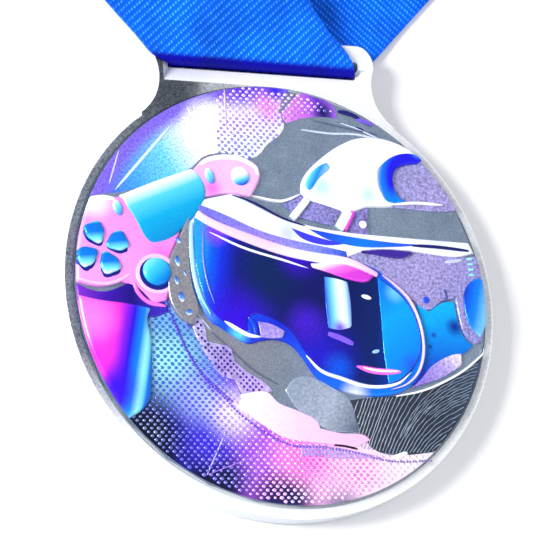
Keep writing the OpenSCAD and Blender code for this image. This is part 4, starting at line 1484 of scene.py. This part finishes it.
class MedalStep(bpy.types.Operator):
    """A step in building the medal. Each step below fills in its own making."""
    bl_idname = "medal.step"
    bl_label = "Step"
    bl_options = {"REGISTER", "UNDO"}

    def execute(self, context):
        self.make(context.scene.medal_sizes, context.scene.medal_colours)
        return {"FINISHED"}

    def make(self, sizes, colours):
        raise NotImplementedError(self.bl_idname)


class MEDAL_OT_stage(MedalStep):
    """Adds the floor, the light and the camera."""
    bl_idname = "medal.stage"
    bl_label = "Stage"

    def make(self, sizes, colours):
        make_stage()


class MEDAL_OT_metal(MedalStep):
    """Finishes the cast body and the film under the plate."""
    bl_idname = "medal.metal"
    bl_label = "Cast Metal"

    def make(self, sizes, colours):
        finish_metal(colours)


class MEDAL_OT_ground(MedalStep):
    """Adds the art plate's ground and its printed zones, with a painted highlight in the upper left corner.
    """
    bl_idname = "medal.ground"
    bl_label = "Plate Ground"

    def make(self, sizes, colours):
        make_ground(colours)


class MEDAL_OT_dots(MedalStep):
    """Adds the fields of raised dots."""
    bl_idname = "medal.dots"
    bl_label = "Raised Dots"

    def make(self, sizes, colours):
        make_dots(sizes)


class MEDAL_OT_combed_field(MedalStep):
    """Adds the combed lines."""
    bl_idname = "medal.combed_field"
    bl_label = "Combed Field"

    def make(self, sizes, colours):
        make_combed_field(sizes)


class MEDAL_OT_swirl(MedalStep):
    """Adds the rings that curl round the headset."""
    bl_idname = "medal.swirl"
    bl_label = "Swirl"

    def make(self, sizes, colours):
        make_swirl()


class MEDAL_OT_pad(MedalStep):
    """Adds the game pad."""
    bl_idname = "medal.pad"
    bl_label = "Game Pad"

    def make(self, sizes, colours):
        make_pad()


class MEDAL_OT_headset(MedalStep):
    """Adds the headset's shell, straps and side."""
    bl_idname = "medal.headset"
    bl_label = "Headset"

    def make(self, sizes, colours):
        make_headset()


class MEDAL_OT_visor(MedalStep):
    """Adds the headset's visor."""
    bl_idname = "medal.visor"
    bl_label = "Visor"

    def make(self, sizes, colours):
        make_visor()


class MEDAL_OT_ribbon(MedalStep):
    """Adds the woven ribbon."""
    bl_idname = "medal.ribbon"
    bl_label = "Neck Ribbon"

    def make(self, sizes, colours):
        make_ribbon(sizes, colours)


class MEDAL_OT_stitches(MedalStep):
    """Adds the seam's stitches."""
    bl_idname = "medal.stitches"
    bl_label = "Seam Stitches"

    def make(self, sizes, colours):
        make_stitches(colours)


class MEDAL_OT_band(MedalStep):
    """Finishes the paper band."""
    bl_idname = "medal.band"
    bl_label = "Paper Band"

    def make(self, sizes, colours):
        finish_band(colours)


STEPS = (
    MEDAL_OT_stage, MEDAL_OT_metal, MEDAL_OT_ground, MEDAL_OT_dots, MEDAL_OT_combed_field, MEDAL_OT_swirl,
    MEDAL_OT_pad, MEDAL_OT_headset, MEDAL_OT_visor, MEDAL_OT_ribbon, MEDAL_OT_stitches, MEDAL_OT_band,
)


class MEDAL_PT_panel(bpy.types.Panel):
    """Lists the medal's steps and settings."""
    bl_idname = "MEDAL_PT_panel"
    bl_label = "Neck Ribbon Medal"
    bl_space_type = "VIEW_3D"
    bl_region_type = "UI"
    bl_category = "Medal"

    def draw(self, context):
        for step in STEPS:
            self.layout.operator(step.bl_idname, text=step.bl_label)
        for group in (context.scene.medal_sizes, context.scene.medal_colours):
            box = self.layout.box()
            for name in group.bl_rna.properties.keys():
                if name not in ("rna_type", "name"):
                    box.prop(group, name)


CLASSES = (MedalSizes, MedalColours, *STEPS, MEDAL_PT_panel)


def register():
    for cls in CLASSES:
        bpy.utils.register_class(cls)
    bpy.types.Scene.medal_sizes = PointerProperty(type=MedalSizes)
    bpy.types.Scene.medal_colours = PointerProperty(type=MedalColours)


def unregister():
    del bpy.types.Scene.medal_colours
    del bpy.types.Scene.medal_sizes
    for cls in reversed(CLASSES):
        bpy.utils.unregister_class(cls)


def main():
    register()
    for step in STEPS:
        group, name = step.bl_idname.split(".")
        getattr(getattr(bpy.ops, group), name)()


if __name__ == "__main__":
    main()
